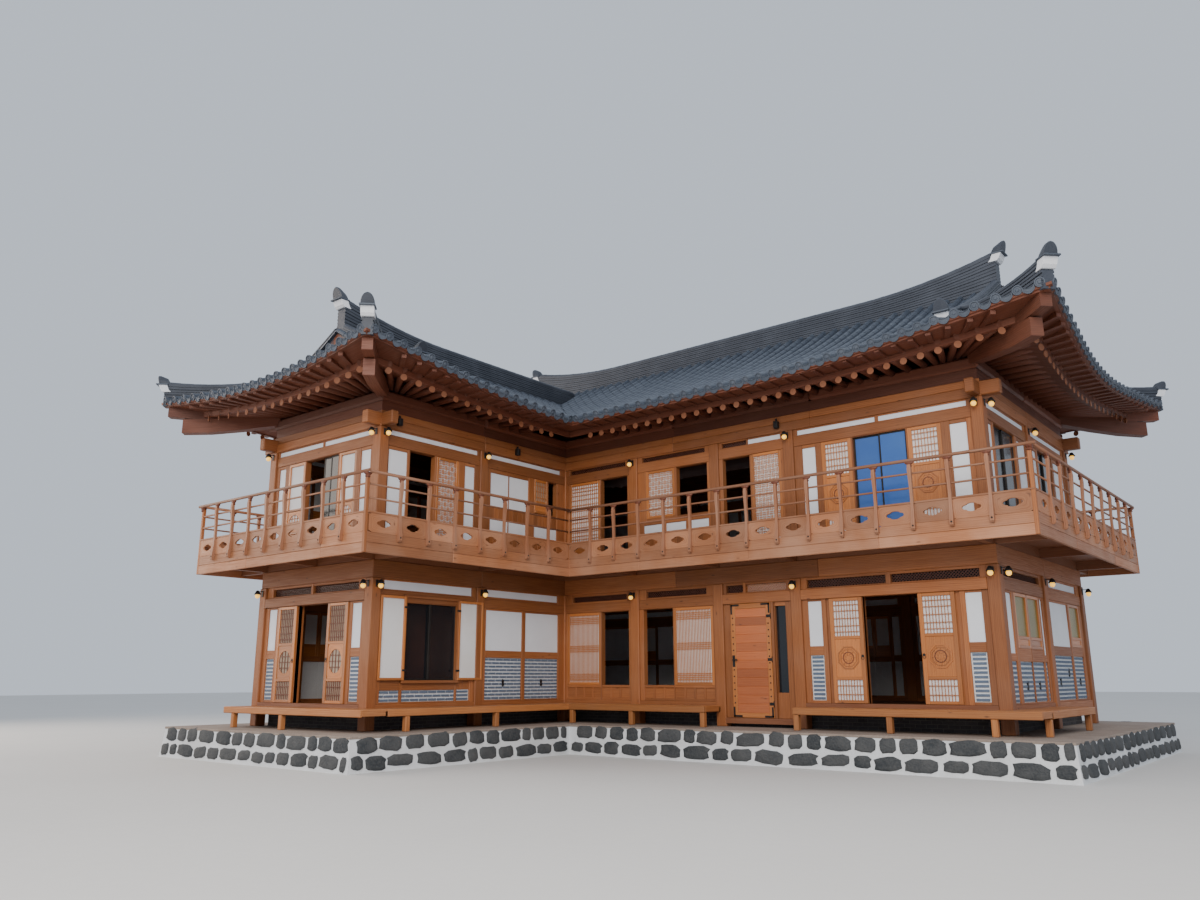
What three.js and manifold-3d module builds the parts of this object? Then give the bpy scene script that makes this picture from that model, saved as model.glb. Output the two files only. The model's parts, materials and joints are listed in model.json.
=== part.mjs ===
// Two-storey hanok house: an L-shaped timber-framed house on a rubble stone platform, with a balcony all
// round its upper floor and hip-and-gable tiled roofs. Millimetres, +Z up, origin under the middle of the
// roof's outline, at ground level. The house is drawn from its inner corner and moved to the origin last.
import * as THREE from "three";
import { mergeVertices } from "three/addons/utils/BufferGeometryUtils.js";
import Module from "manifold-3d";

const wasm = await Module();
wasm.setup();

// Plan: the main wing runs along X behind the inner corner, the side wing comes forward along -Y.
const WING_WIDTH = 4100;
const WING_LENGTH = 5900;
const MAIN_LENGTH = 10470;
const MAIN_WIDTH = 6120;
const BALCONY_REACH = 1020;
const PLATFORM_REACH = 1270;
const BOARD = 60;
const PANEL = 40;
const RAIL_PROUD = 55;
const RAIL_INSIDE = 10;
const HANDRAIL = 60;
const BALUSTER_DROP = 130;
const FIT = 0.3;

// Levels above the ground.
const PLATFORM_TOP = 630;
const SILL_BOTTOM = 960;
const DECK_TOP = 1060;
const SILL_TOP = 1134;
const LINTEL_BOTTOM = 3190;
const LINTEL_TOP = 3400;
const RING_BOTTOM = 3640;
const BALCONY_BOTTOM = 3960;
const JOIST_BOTTOM = 4010;
const SLAB_BOTTOM = 4210;
const UPPER_FLOOR = 4360;
const PANEL_TOP = 4740;
const RAIL_TOP = 5560;
const UPPER_LINTEL_BOTTOM = 6450;
const UPPER_LINTEL_TOP = 6670;
const UPPER_RING_BOTTOM = 6820;
const UPPER_RING_TOP = 7180;

// Timber and panel sections. Depths are measured outwards from the face of the posts.
const POST = 240;
const JAMB = 80;
const JAMB_FRONT = -50;
const PLATE_FRONT = -70;
const PLATE_BACK = -170;
const BEAM_FRONT = -20;
const BEAM_BACK = -220;
const LEAF_FRONT = -20;
const LEAF_BACK = -64;
const RUN_GAP = 6;
const WINDOW_RIM = 60;
const LEAF_INSET = 20;
const THROUGH = 50;

// Sliding doors of the two wide bays, and the entrance door.
const HALF_DOORWAY = 565;
const LEAF_WIDTH = 700;
const RUNNER = { width: 90, inset: 70, back: -50, front: -34 };
const ENTRANCE = { left: 4765, right: 5740, bottom: 820, thick: 50, front: -10 };

// Posts along each face, by their middles.
const FRONT_POSTS = [2160, 4460, 6350];
const WING_SIDE_POST = 3040;
const RIGHT_SIDE_POST = 3000;

// Roof: rise of the tiled surface above the eave against the distance inwards from the eave.
const EAVE_REACH = 1500;
const EAVE_HEIGHT = 7580;
const MAIN_RUN = EAVE_REACH + MAIN_WIDTH / 2;
const WING_RUN = EAVE_REACH + WING_WIDTH / 2;
const MAIN_RISE = 2430;
const STRAIGHTNESS = 0.75;
const CORNER_LIFT = 450;
const CORNER_PUSH = 350;
const LIFT_RUN = 6000;
const LIFT_POWER = 1.7;
const LIFT_FADE = 0.6;
const VERGE_RUN = 1720;
const GABLE_RUN = 2020;
const RIDGE_WIDTH = 300;
const RIDGE = { sink: 250, height: 560, curl: 410, curlRun: 3200 };
const HIP = { sink: 130, height: 330, curl: 190, curlRun: 1400, inside: 120, width: 230, vergeWidth: 250 };
const GABLE = { thick: 120, proud: 20, sunk: 200, upstand: 150, drop: 300 };

// Rafters under a corner: distance inwards from both eaves and height of the foot above the eave.
const CORNER_RAFTERS = [
  { width: 230, height: 330, path: [[1620, -85], [1000, -215], [500, -295], [50, -320]] },
  { width: 210, height: 330, path: [[900, 35], [400, 5], [-200, 90]] },
];
const BEAM_HEAD = { reach: 330, width: 180, bottom: 6840, top: 7120 };

const X0 = -WING_WIDTH;
const X1 = MAIN_LENGTH;
const Y0 = -WING_LENGTH;
const Y1 = MAIN_WIDTH;

const COLOURS = {
  stone: [0x5e6166, 0.9],
  timber: [0xa9683c, 0.6],
  darkTimber: [0x5a2f1f, 0.7],
  plaster: [0xdfe0e2, 0.85],
  tile: [0x3d4653, 0.65],
  door: [0xb5683a, 0.5],
};

const house = new THREE.Group();

// A closed geometry as a solid that can be joined and cut.
function solidOf(geometry) {
  const bare = geometry.clone();
  bare.deleteAttribute("normal");
  bare.deleteAttribute("uv");
  const merged = mergeVertices(bare, 1e-3);
  return new wasm.Manifold(
    new wasm.Mesh({
      numProp: 3,
      vertProperties: Float32Array.from(merged.attributes.position.array),
      triVerts: Uint32Array.from(merged.index.array),
    }),
  );
}

function joined(solids) {
  return solids.reduce((sum, next) => sum.add(next));
}

function cut(solid, cutters) {
  return cutters.reduce((rest, cutter) => rest.subtract(cutter), solid);
}

// A box between two corners. One step of scaling and moving keeps shared faces exactly level.
function box(x0, x1, y0, y1, z0, z1) {
  const geometry = new THREE.BoxGeometry(1, 1, 1);
  geometry.translate(0.5, 0.5, 0.5);
  geometry.applyMatrix4(new THREE.Matrix4().makeScale(x1 - x0, y1 - y0, z1 - z0).setPosition(x0, y0, z0));
  return solidOf(geometry);
}

// An upright prism over a plan outline.
function prism(outline, z0, z1) {
  const shape = new THREE.Shape(outline.map(([x, y]) => new THREE.Vector2(x, y)));
  const geometry = new THREE.ExtrudeGeometry(shape, { depth: 1, bevelEnabled: false });
  geometry.applyMatrix4(new THREE.Matrix4().makeScale(1, 1, z1 - z0).setPosition(0, 0, z0));
  return solidOf(geometry);
}

// The L-shaped plan, grown outwards by reach.
function plan(reach) {
  return [
    [X0 - reach, Y0 - reach],
    [reach, Y0 - reach],
    [reach, -reach],
    [X1 + reach, -reach],
    [X1 + reach, Y1 + reach],
    [X0 - reach, Y1 + reach],
  ];
}

function ring(outer, inner, z0, z1) {
  return prism(plan(outer), z0, z1).subtract(prism(plan(inner), z0 - 1, z1 + 1));
}

function place(name, solid, look) {
  const made = solid.getMesh();
  const geometry = new THREE.BufferGeometry();
  geometry.setAttribute("position", new THREE.BufferAttribute(made.vertProperties, 3));
  geometry.setIndex(new THREE.BufferAttribute(made.triVerts, 1));
  geometry.computeVertexNormals();
  const [color, roughness] = COLOURS[look];
  const mesh = new THREE.Mesh(
    geometry,
    new THREE.MeshStandardMaterial({ color, roughness, metalness: 0 }),
  );
  mesh.name = name;
  house.add(mesh);
}

// A face of the house: u runs to the right as seen from outside, d runs outwards.
class Face {
  constructor(x, y, ux, uy, length) {
    Object.assign(this, { x, y, ux, uy, length });
  }

  point(u, d) {
    return [this.x + this.ux * u + this.uy * d, this.y + this.uy * u - this.ux * d];
  }

  block(u0, u1, d0, d1, z0, z1) {
    const [xa, ya] = this.point(u0, d0);
    const [xb, yb] = this.point(u1, d1);
    return box(Math.min(xa, xb), Math.max(xa, xb), Math.min(ya, yb), Math.max(ya, yb), z0, z1);
  }
}

const WING_FRONT = new Face(X0, Y0, 1, 0, WING_WIDTH);
const WING_SIDE = new Face(0, Y0, 0, 1, WING_LENGTH);
const FRONT = new Face(0, 0, 1, 0, MAIN_LENGTH);
const RIGHT = new Face(X1, 0, 0, 1, MAIN_WIDTH);
const BACK = new Face(X1, Y1, -1, 0, MAIN_LENGTH + WING_WIDTH);
const LEFT = new Face(X0, Y1, 0, -1, MAIN_WIDTH + WING_LENGTH);

// Heights of one storey's wall members.
const GROUND = {
  base: PLATFORM_TOP + FIT,
  sill: SILL_BOTTOM,
  floor: SILL_TOP,
  lintel: LINTEL_BOTTOM,
  lintelTop: LINTEL_TOP,
  top: RING_BOTTOM - FIT,
};
const UPPER = {
  base: UPPER_FLOOR + FIT,
  sill: UPPER_FLOOR + FIT,
  floor: UPPER_FLOOR + 110,
  lintel: UPPER_LINTEL_BOTTOM,
  lintelTop: UPPER_LINTEL_TOP,
  top: UPPER_RING_BOTTOM - FIT,
};

function post(face, middle, storey) {
  return face.block(middle - POST / 2, middle + POST / 2, -POST, 0, storey.base, storey.top);
}

// Sill, lintel and infill between u0 and u1, with jambs against the posts where asked.
function bayWall(face, u0, u1, storey) {
  return joined([
    face.block(u0, u1, PLATE_BACK, PLATE_FRONT, storey.sill, storey.top),
    face.block(u0, u1, BEAM_BACK, BEAM_FRONT, storey.sill, storey.floor),
    face.block(u0, u1, BEAM_BACK, JAMB_FRONT, storey.lintel, storey.lintelTop),
  ]);
}

function jambs(face, u0, u1, storey) {
  return joined([
    face.block(u0, u0 + JAMB, BEAM_BACK, JAMB_FRONT, storey.floor, storey.top),
    face.block(u1 - JAMB, u1, BEAM_BACK, JAMB_FRONT, storey.floor, storey.top),
  ]);
}

// One opening: hole through the wall, its frame, and leaves standing open or shut beside it.
function windowFrame(face, w) {
  const [u0, u1] = [w.u0 - WINDOW_RIM, w.u1 + WINDOW_RIM];
  return face.block(u0, u1, BEAM_BACK, JAMB_FRONT, w.z0 - WINDOW_RIM, w.z1 + WINDOW_RIM);
}

function windowHole(face, w) {
  return face.block(w.u0, w.u1, -POST - THROUGH, THROUGH, w.z0, w.z1);
}

// A leaf of a window, hung on the wall beside its opening, or shut inside it.
function fixedLeaf(face, l) {
  const shut = [PLATE_BACK + LEAF_INSET, PLATE_FRONT - LEAF_INSET];
  const [back, front] = l.shut ? shut : [PLATE_FRONT - 5, LEAF_FRONT];
  return face.block(l.u0 - 1, l.u1 + 1, back, l.front ?? front, l.z0 - 1, l.z1 + 1);
}

// A whole wall: posts at the given middles, bays between them, openings and leaves.
function wall(face, u0, u1, posts, openings, leaves, storey) {
  const edges = [u0, ...posts.flatMap((m) => [m - POST / 2, m + POST / 2]), u1];
  const pieces = posts.map((m) => post(face, m, storey));
  for (let i = 0; i < edges.length; i += 2) {
    if (edges[i + 1] - edges[i] > 1) {
      pieces.push(bayWall(face, edges[i], edges[i + 1], storey));
      pieces.push(jambs(face, edges[i], edges[i + 1], storey));
    }
  }
  pieces.push(...openings.map((w) => windowFrame(face, w)));
  const holed = cut(joined(pieces), openings.map((w) => windowHole(face, w)));
  return leaves.reduce((sum, l) => sum.add(fixedLeaf(face, l)), holed);
}

// The side panel of a wide bay, with its post, from the post's outer edge to the doorway.
function doorSidePanel(face, postStart, clearEdge, doorEdge) {
  const u0 = Math.min(clearEdge, doorEdge);
  const u1 = Math.max(clearEdge, doorEdge);
  const jambStart = clearEdge < doorEdge ? u0 : u1 - JAMB;
  const doorJamb = clearEdge < doorEdge ? u1 - JAMB : u0;
  return joined([
    face.block(postStart, postStart + POST, -POST, 0, GROUND.base, GROUND.top),
    face.block(u0, u1, PLATE_BACK, PLATE_FRONT, SILL_TOP + FIT, LINTEL_BOTTOM - FIT),
    face.block(jambStart, jambStart + JAMB, BEAM_BACK, JAMB_FRONT, SILL_TOP + FIT, LINTEL_BOTTOM - FIT),
    face.block(doorJamb, doorJamb + JAMB, BEAM_BACK, PLATE_FRONT, SILL_TOP + FIT, LINTEL_BOTTOM - FIT),
  ]);
}

function doorLintel(face, u0, u1) {
  const railBottom = RING_BOTTOM - WINDOW_RIM;
  const middle = (u0 + u1) / 2;
  return joined([
    face.block(u0 + FIT, u1 - FIT, BEAM_BACK, 0, LINTEL_BOTTOM, LINTEL_TOP),
    face.block(u0 + FIT, u1 - FIT, PLATE_BACK, PLATE_FRONT, LINTEL_TOP, GROUND.top),
    face.block(middle - JAMB / 2, middle + JAMB / 2, PLATE_BACK, JAMB_FRONT, LINTEL_TOP, GROUND.top),
    face.block(u0 + FIT, u1 - FIT, PLATE_BACK, JAMB_FRONT, railBottom, GROUND.top),
  ]);
}

// A sliding leaf with two runners that stand on the sill.
function slidingLeaf(face, u0) {
  const bottom = SILL_TOP + RUN_GAP;
  const leaf = face.block(u0, u0 + LEAF_WIDTH, LEAF_BACK, LEAF_FRONT, bottom, LINTEL_BOTTOM - RUN_GAP);
  const { width, inset, back, front } = RUNNER;
  const runners = [u0 + inset, u0 + LEAF_WIDTH - inset - width].map((u) => {
    return face.block(u, u + width, back, front, SILL_TOP + FIT, bottom + 1);
  });
  return joined([leaf, ...runners]);
}

// A wide bay with a pair of sliding leaves, standing open as built.
function doorBay(face, names, leftPost, rightPost) {
  const clear0 = leftPost + POST;
  const clear1 = rightPost;
  const middle = (clear0 + clear1) / 2;
  place(names.left, doorSidePanel(face, leftPost, clear0, middle - HALF_DOORWAY), "plaster");
  place(names.right, doorSidePanel(face, rightPost, clear1, middle + HALF_DOORWAY), "plaster");
  place(names.lintel, doorLintel(face, clear0, clear1), "timber");
  place(names.leafLeft, slidingLeaf(face, middle - HALF_DOORWAY - LEAF_WIDTH), "door");
  place(names.leafRight, slidingLeaf(face, middle + HALF_DOORWAY), "door");
}

// Stone platform with a battered face.
function platform() {
  const batter = 60;
  const slice = (reach, z0, z1) => prism(plan(reach), z0, z1);
  return joined([slice(PLATFORM_REACH + batter, 0, 200), slice(PLATFORM_REACH, 199, PLATFORM_TOP)]);
}

// Ground floor with the raised sills of the two wide doorways and the low sill of the entrance.
function groundFloor() {
  const inner = -POST - FIT;
  const step = 700;
  const lap = 10;
  const stepBack = 280;
  const clearWing = [POST + FIT, WING_WIDTH - POST - FIT];
  const clearHall = [FRONT_POSTS[2] + POST / 2 + FIT, MAIN_LENGTH - POST - FIT];
  const clearEntry = [FRONT_POSTS[1] + POST / 2 + FIT, FRONT_POSTS[2] - POST / 2 - FIT];
  return joined([
    prism(plan(inner), SILL_BOTTOM, DECK_TOP),
    WING_FRONT.block(clearWing[0], clearWing[1], inner - lap, 0, SILL_BOTTOM, SILL_TOP),
    FRONT.block(clearHall[0], clearHall[1], inner - lap, 0, SILL_BOTTOM, SILL_TOP),
    FRONT.block(clearEntry[0], clearEntry[1], FIT - stepBack, inner, step, SILL_BOTTOM + 1),
    FRONT.block(clearEntry[0], clearEntry[1], inner - lap, 0, step, ENTRANCE.bottom - RUN_GAP),
  ]);
}

// Narrow wooden deck on short legs along a list of runs, each a face with its ends and depth.
function deck(runs) {
  const leg = 110;
  const setback = 10;
  const boardsBottom = DECK_TOP - 45;
  const fasciaBottom = DECK_TOP - 120;
  const pieces = [];
  for (const { face, u0, u1, reach, legs } of runs) {
    pieces.push(face.block(u0, u1, FIT, reach, boardsBottom, DECK_TOP));
    pieces.push(face.block(u0, u1, reach - BOARD, reach, fasciaBottom, DECK_TOP));
    pieces.push(face.block(u0, u1, FIT, BOARD, fasciaBottom, DECK_TOP));
    for (const u of legs) {
      const front = reach - setback;
      pieces.push(face.block(u, u + leg, front - leg, front, PLATFORM_TOP + FIT, boardsBottom + 1));
      pieces.push(face.block(u, u + leg, FIT, front - setback, fasciaBottom, boardsBottom + 1));
    }
  }
  return joined(pieces);
}

// Upper floor with the balcony and the beams that carry it out over the walls.
function upperFloor() {
  const reach = BALCONY_REACH - BOARD - FIT;
  const beam = 120;
  const tail = -100;
  const joist = { outer: -40, inner: -200 };
  const pieces = [
    prism(plan(reach), SLAB_BOTTOM, UPPER_FLOOR),
    ring(joist.outer, joist.inner, JOIST_BOTTOM, SLAB_BOTTOM + 1),
  ];
  const carried = [
    [WING_FRONT, [POST / 2, WING_WIDTH / 2, WING_WIDTH - POST / 2]],
    [WING_SIDE, [POST / 2, WING_SIDE_POST]],
    [FRONT, [...FRONT_POSTS, MAIN_LENGTH - POST / 2]],
    [RIGHT, [POST / 2, RIGHT_SIDE_POST, MAIN_WIDTH - POST / 2]],
    [BACK, [POST / 2, ...FRONT_POSTS.map((u) => MAIN_LENGTH - u), MAIN_LENGTH, BACK.length - POST / 2]],
    [LEFT, [POST / 2, RIGHT_SIDE_POST, MAIN_WIDTH, MAIN_WIDTH + WING_LENGTH - WING_SIDE_POST,
      LEFT.length - POST / 2]],
  ];
  for (const [face, middles] of carried) {
    for (const u of middles) {
      pieces.push(face.block(u - beam / 2, u + beam / 2, tail, reach, JOIST_BOTTOM, SLAB_BOTTOM + 1));
    }
  }
  return joined(pieces);
}

// One side of the balcony: fascia, panel, handrail, and the balusters that stand in front of the boards.
// Where it wraps a corner of the balcony, the handrail runs on over the end of the next side.
function railing({ face, start, end, railStart = start, wraps, bays }) {
  const out = BALCONY_REACH;
  const railBottom = RAIL_TOP - HANDRAIL;
  const rail0 = wraps.start ? start - RAIL_PROUD : railStart;
  const rail1 = wraps.end ? end + RAIL_PROUD : end;
  const pieces = [
    face.block(start, end, out - BOARD, out, BALCONY_BOTTOM, UPPER_FLOOR),
    face.block(start, end, out - PANEL, out, UPPER_FLOOR - 1, PANEL_TOP),
    face.block(rail0, rail1, out - RAIL_INSIDE, out + RAIL_PROUD, railBottom, RAIL_TOP),
  ];
  if (wraps.start) {
    pieces.push(face.block(rail0, start + BOARD, out - BOARD, out, railBottom, RAIL_TOP));
  }
  if (wraps.end) {
    pieces.push(face.block(end - BOARD, rail1, out - BOARD, out, railBottom, RAIL_TOP));
  }
  for (let i = 0; i <= bays; i++) {
    const u = start + BOARD / 2 + ((end - start - BOARD) * i) / bays;
    const atEnd = i === 0 || i === bays;
    const bottom = atEnd ? BALCONY_BOTTOM : UPPER_FLOOR - BALUSTER_DROP;
    const front = atEnd ? out : out + RAIL_PROUD - 5;
    pieces.push(face.block(u - BOARD / 2, u + BOARD / 2, front - BOARD, front, bottom, railBottom + 1));
  }
  return joined(pieces);
}

// Height of the tiled surface above the eave at a distance inwards from it.
function rise(t) {
  const share = t / MAIN_RUN;
  return MAIN_RISE * (STRAIGHTNESS * share + (1 - STRAIGHTNESS) * share * share);
}

// Underside: tile edge, flying rafters, round rafters, then the sloping ceiling.
const UNDERSIDE = [
  [0, -100],
  [60, -190],
  [480, -180],
  [500, -350],
  [1500, 60],
  [2500, 560],
  [MAIN_RUN, 1980],
];

function underside(t) {
  const i = Math.max(1, UNDERSIDE.findIndex(([end]) => t <= end));
  const [t0, z0] = UNDERSIDE[i - 1];
  const [t1, z1] = UNDERSIDE[i];
  return z0 + ((z1 - z0) * (t - t0)) / (t1 - t0);
}

// Lift of the roof at distance t inwards from the eave and a along it from a corner.
function cornerLift(t, a) {
  const fade = 1 - LIFT_FADE * Math.min(1, t / EAVE_REACH);
  return CORNER_LIFT * fade * Math.max(0, 1 - a / LIFT_RUN) ** LIFT_POWER;
}

// A corner where two eaves meet: it lifts the roof and pushes the eaves outwards.
class EaveCorner {
  constructor(x, y, sx, sy) {
    Object.assign(this, { x, y, sx, sy });
  }

  move([x, y]) {
    const tx = Math.max(0, (this.x - x) * this.sx);
    const ty = Math.max(0, (this.y - y) * this.sy);
    const along = (a) => Math.max(0, 1 - a / LIFT_RUN) ** 2;
    const across = (t) => Math.max(0, 1 - t / VERGE_RUN);
    return [
      CORNER_PUSH * along(ty) * across(tx) * this.sx,
      CORNER_PUSH * along(tx) * across(ty) * this.sy,
      cornerLift(Math.min(tx, ty), Math.max(tx, ty)),
    ];
  }
}

const MAIN_CORNERS = [
  new EaveCorner(X1 + EAVE_REACH, -EAVE_REACH, 1, -1),
  new EaveCorner(X1 + EAVE_REACH, Y1 + EAVE_REACH, 1, 1),
  new EaveCorner(X0 - EAVE_REACH, Y1 + EAVE_REACH, -1, 1),
];
const WING_CORNERS = [
  new EaveCorner(X0 - EAVE_REACH, Y0 - EAVE_REACH, -1, -1),
  new EaveCorner(EAVE_REACH, Y0 - EAVE_REACH, 1, -1),
];

function bent(corners, point) {
  const moved = [...point];
  for (const corner of corners) {
    corner.move(point).forEach((step, axis) => {
      moved[axis] += step;
    });
  }
  return moved;
}

// A closed slab over a grid of columns and rows; pointAt gives a top or bottom point.
function gridSolid(columns, rows, pointAt) {
  const positions = [];
  const index = [];
  const at = (i, j, level) => (level * columns.length + i) * rows.length + j;
  for (const top of [false, true]) {
    for (const c of columns) {
      for (const r of rows) {
        positions.push(...pointAt(c, r, top));
      }
    }
  }
  const quad = (a, b, c, d) => index.push(a, b, c, a, c, d);
  const m = columns.length - 1;
  const n = rows.length - 1;
  for (let i = 0; i < m; i++) {
    for (let j = 0; j < n; j++) {
      quad(at(i, j, 1), at(i + 1, j, 1), at(i + 1, j + 1, 1), at(i, j + 1, 1));
      quad(at(i, j, 0), at(i, j + 1, 0), at(i + 1, j + 1, 0), at(i + 1, j, 0));
    }
    quad(at(i, 0, 0), at(i + 1, 0, 0), at(i + 1, 0, 1), at(i, 0, 1));
    quad(at(i + 1, n, 0), at(i, n, 0), at(i, n, 1), at(i + 1, n, 1));
  }
  for (let j = 0; j < n; j++) {
    quad(at(0, j + 1, 0), at(0, j, 0), at(0, j, 1), at(0, j + 1, 1));
    quad(at(m, j, 0), at(m, j + 1, 0), at(m, j + 1, 1), at(m, j, 1));
  }
  const geometry = new THREE.BufferGeometry();
  geometry.setAttribute("position", new THREE.BufferAttribute(new Float32Array(positions), 3));
  geometry.setIndex(index);
  const solid = solidOf(geometry);
  if (solid.volume() > 0) return solid;
  geometry.setIndex(index.reverse());
  return solidOf(geometry);
}

// Places along an eave as shares of its length, closer together near a lifted corner.
function shares(startLifted, endLifted) {
  const near = [0, 0.06, 0.13, 0.22, 0.33];
  const left = startLifted ? near : [0, 0.3];
  const right = (endLifted ? near : [0, 0.3]).map((s) => 1 - s).reverse();
  return [...left, 0.5, ...right];
}

const SLOPE_ROWS = [0, 60, 480, 500, 1000, 1500, VERGE_RUN];

// A slope that rises from the eave: start and end give the ends of its line at distance t from the eave.
function slope(corners, eaveAt, rows, columns, start, end) {
  return gridSolid(columns, rows, (share, t, top) => {
    const s = start(t) + (end(t) - start(t)) * share;
    const z = EAVE_HEIGHT + (top ? rise(t) : underside(t));
    return bent(corners, [...eaveAt(s, t), z]);
  });
}

function mainRoof() {
  const hipLeft = (t) => X0 - EAVE_REACH + Math.min(t, VERGE_RUN);
  const hipRight = (t) => X1 + EAVE_REACH - Math.min(t, VERGE_RUN);
  const rows = [...SLOPE_ROWS, 2500, 3500, MAIN_RUN];
  const skirtRows = [...SLOPE_ROWS, GABLE_RUN];
  const near = (t) => -EAVE_REACH + Math.min(t, VERGE_RUN);
  const far = (t) => Y1 + EAVE_REACH - Math.min(t, VERGE_RUN);
  const side = (eaveAt, steps, columns, start, end) => {
    return slope(MAIN_CORNERS, eaveAt, steps, columns, start, end);
  };
  return joined([
    side((s, t) => [s, -EAVE_REACH + t], rows, shares(false, true), hipLeft, hipRight),
    side((s, t) => [s, Y1 + EAVE_REACH - t], rows, shares(true, true), hipRight, hipLeft),
    side((s, t) => [X1 + EAVE_REACH - t, s], skirtRows, shares(true, true), near, far),
    side((s, t) => [X0 - EAVE_REACH + t, s], skirtRows, shares(true, false), far, near),
    mainGable(X1 + EAVE_REACH - GABLE_RUN - GABLE.thick + GABLE.proud),
    mainGable(X0 - EAVE_REACH + GABLE_RUN - GABLE.proud),
    cornerRafters(MAIN_CORNERS),
  ]);
}

// Triangle of boards that closes the end of a roof, just inside the verge.
function gableBoards(halfWidth, apex) {
  const foot = EAVE_HEIGHT + rise(GABLE_RUN) - GABLE.sunk;
  const shoulder = foot + GABLE.upstand;
  const outline = [
    [-halfWidth, foot],
    [halfWidth, foot],
    [halfWidth, shoulder],
    [0, apex - GABLE.drop],
    [-halfWidth, shoulder],
  ];
  const shape = new THREE.Shape(outline.map(([across, z]) => new THREE.Vector2(across, z)));
  const geometry = new THREE.ExtrudeGeometry(shape, { depth: GABLE.thick, bevelEnabled: false });
  return geometry.rotateX(Math.PI / 2);
}

function mainGable(x) {
  const boards = gableBoards(MAIN_RUN - GABLE_RUN, EAVE_HEIGHT + MAIN_RISE);
  return solidOf(boards.rotateZ(Math.PI / 2).translate(x, Y1 / 2, 0));
}

function wingGable(y) {
  const boards = gableBoards(WING_RUN - GABLE_RUN, EAVE_HEIGHT + rise(WING_RUN));
  return solidOf(boards.translate(X0 / 2, y + GABLE.thick - GABLE.proud, 0));
}

// The two rafters that carry each corner of a roof, one over the other, notched over the beams.
function cornerRafters(corners) {
  const beams = upperBeams();
  const pieces = [];
  for (const corner of corners) {
    for (const { width, height, path } of CORNER_RAFTERS) {
      const line = path.map(([t, z]) => {
        const foot = EAVE_HEIGHT + z;
        return [corner.x - corner.sx * t, corner.y - corner.sy * t, foot, foot + height];
      });
      pieces.push(seated(ridgeWall(line, width), [beams]));
    }
  }
  return joined(pieces);
}

// Plan of what the side wing's roof covers: its right edge is the valley, its head the top of both valleys.
function wingRegion(grow) {
  const head = -WING_WIDTH / 2;
  const verge = X0 - EAVE_REACH + VERGE_RUN;
  const seam = verge + WING_WIDTH;
  const far = 9000;
  return [
    [-far, -far],
    [far, -far + grow],
    [head, -head + grow],
    [verge, seam + grow],
    [-far, seam + grow],
  ];
}

function wingRoof() {
  const head = WING_WIDTH / 2 + 300;
  const front = (t) => Y0 - EAVE_REACH + Math.min(t, VERGE_RUN);
  const left = (t) => X0 - EAVE_REACH + Math.min(t, VERGE_RUN);
  const right = (t) => EAVE_REACH - Math.min(t, VERGE_RUN);
  const rows = [...SLOPE_ROWS, 2500, WING_RUN];
  const skirtRows = [...SLOPE_ROWS, GABLE_RUN];
  const side = (eaveAt, steps, columns, start, end) => {
    return slope(WING_CORNERS, eaveAt, steps, columns, start, end);
  };
  return joined([
    side((s, t) => [X0 - EAVE_REACH + t, s], rows, shares(false, true), () => head, front),
    side((s, t) => [EAVE_REACH - t, s], rows, shares(true, false), front, () => head),
    side((s, t) => [s, Y0 - EAVE_REACH + t], skirtRows, shares(true, true), left, right),
    wingGable(Y0 - EAVE_REACH + GABLE_RUN),
    cornerRafters(WING_CORNERS),
  ]);
}

// A ridge wall: follows a path of [x, y, base, top] points, width across it.
function ridgeWall(path, width) {
  const rows = [-1, 1];
  return gridSolid(path.map((_, i) => i), rows, (i, side, top) => {
    const [x, y, base, head] = path[i];
    const [px, py] = path[Math.max(0, i - 1)];
    const [nx, ny] = path[Math.min(path.length - 1, i + 1)];
    const run = Math.hypot(nx - px, ny - py);
    const off = (side * width) / 2 / run;
    return [x - (ny - py) * off, y + (nx - px) * off, top ? head : base];
  });
}

// A straight ridge from a to b over a roof's top edge that curls up at the ends that are free.
function straightRidge({ from: a, to: b, top, curlStart, curlEnd }) {
  const steps = 12;
  const length = Math.hypot(b[0] - a[0], b[1] - a[1]);
  const curl = (distance, on) => (on ? RIDGE.curl * Math.max(0, 1 - distance / RIDGE.curlRun) ** 2 : 0);
  const path = Array.from({ length: steps + 1 }, (_, i) => {
    const s = i / steps;
    const up = curl(s * length, curlStart) + curl((1 - s) * length, curlEnd);
    const spot = a.map((start, axis) => start + (b[axis] - start) * s);
    return [...spot, top - RIDGE.sink, top + RIDGE.height + up];
  });
  return ridgeWall(path, RIDGE_WIDTH);
}

// Descending ridge down the verge and hip ridge out to the corner. The verge runs along X or along Y.
function hipRidge(corner, run, vergeAlongY) {
  const at = (tx, ty, curl) => {
    const flat = [corner.x - corner.sx * tx, corner.y - corner.sy * ty, 0];
    const [x, y, lift] = bent([corner], flat);
    const z = EAVE_HEIGHT + rise(vergeAlongY ? ty : tx) + lift;
    return [x, y, z - HIP.sink, z + HIP.height + curl];
  };
  const inside = VERGE_RUN + HIP.inside;
  const vergeSteps = [900, 1300, VERGE_RUN, 2300, 3000, run - RIDGE_WIDTH / 2 - FIT];
  const verge = vergeSteps.map((t) => (vergeAlongY ? at(inside, t, 0) : at(t, inside, 0)));
  const hip = [40, 300, 600, 1000, HIP.curlRun, inside].map((t) => {
    return at(t, t, HIP.curl * Math.max(0, 1 - t / HIP.curlRun) ** 2);
  });
  return ridgeWall(verge, HIP.vergeWidth).add(ridgeWall(hip, HIP.width));
}

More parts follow.
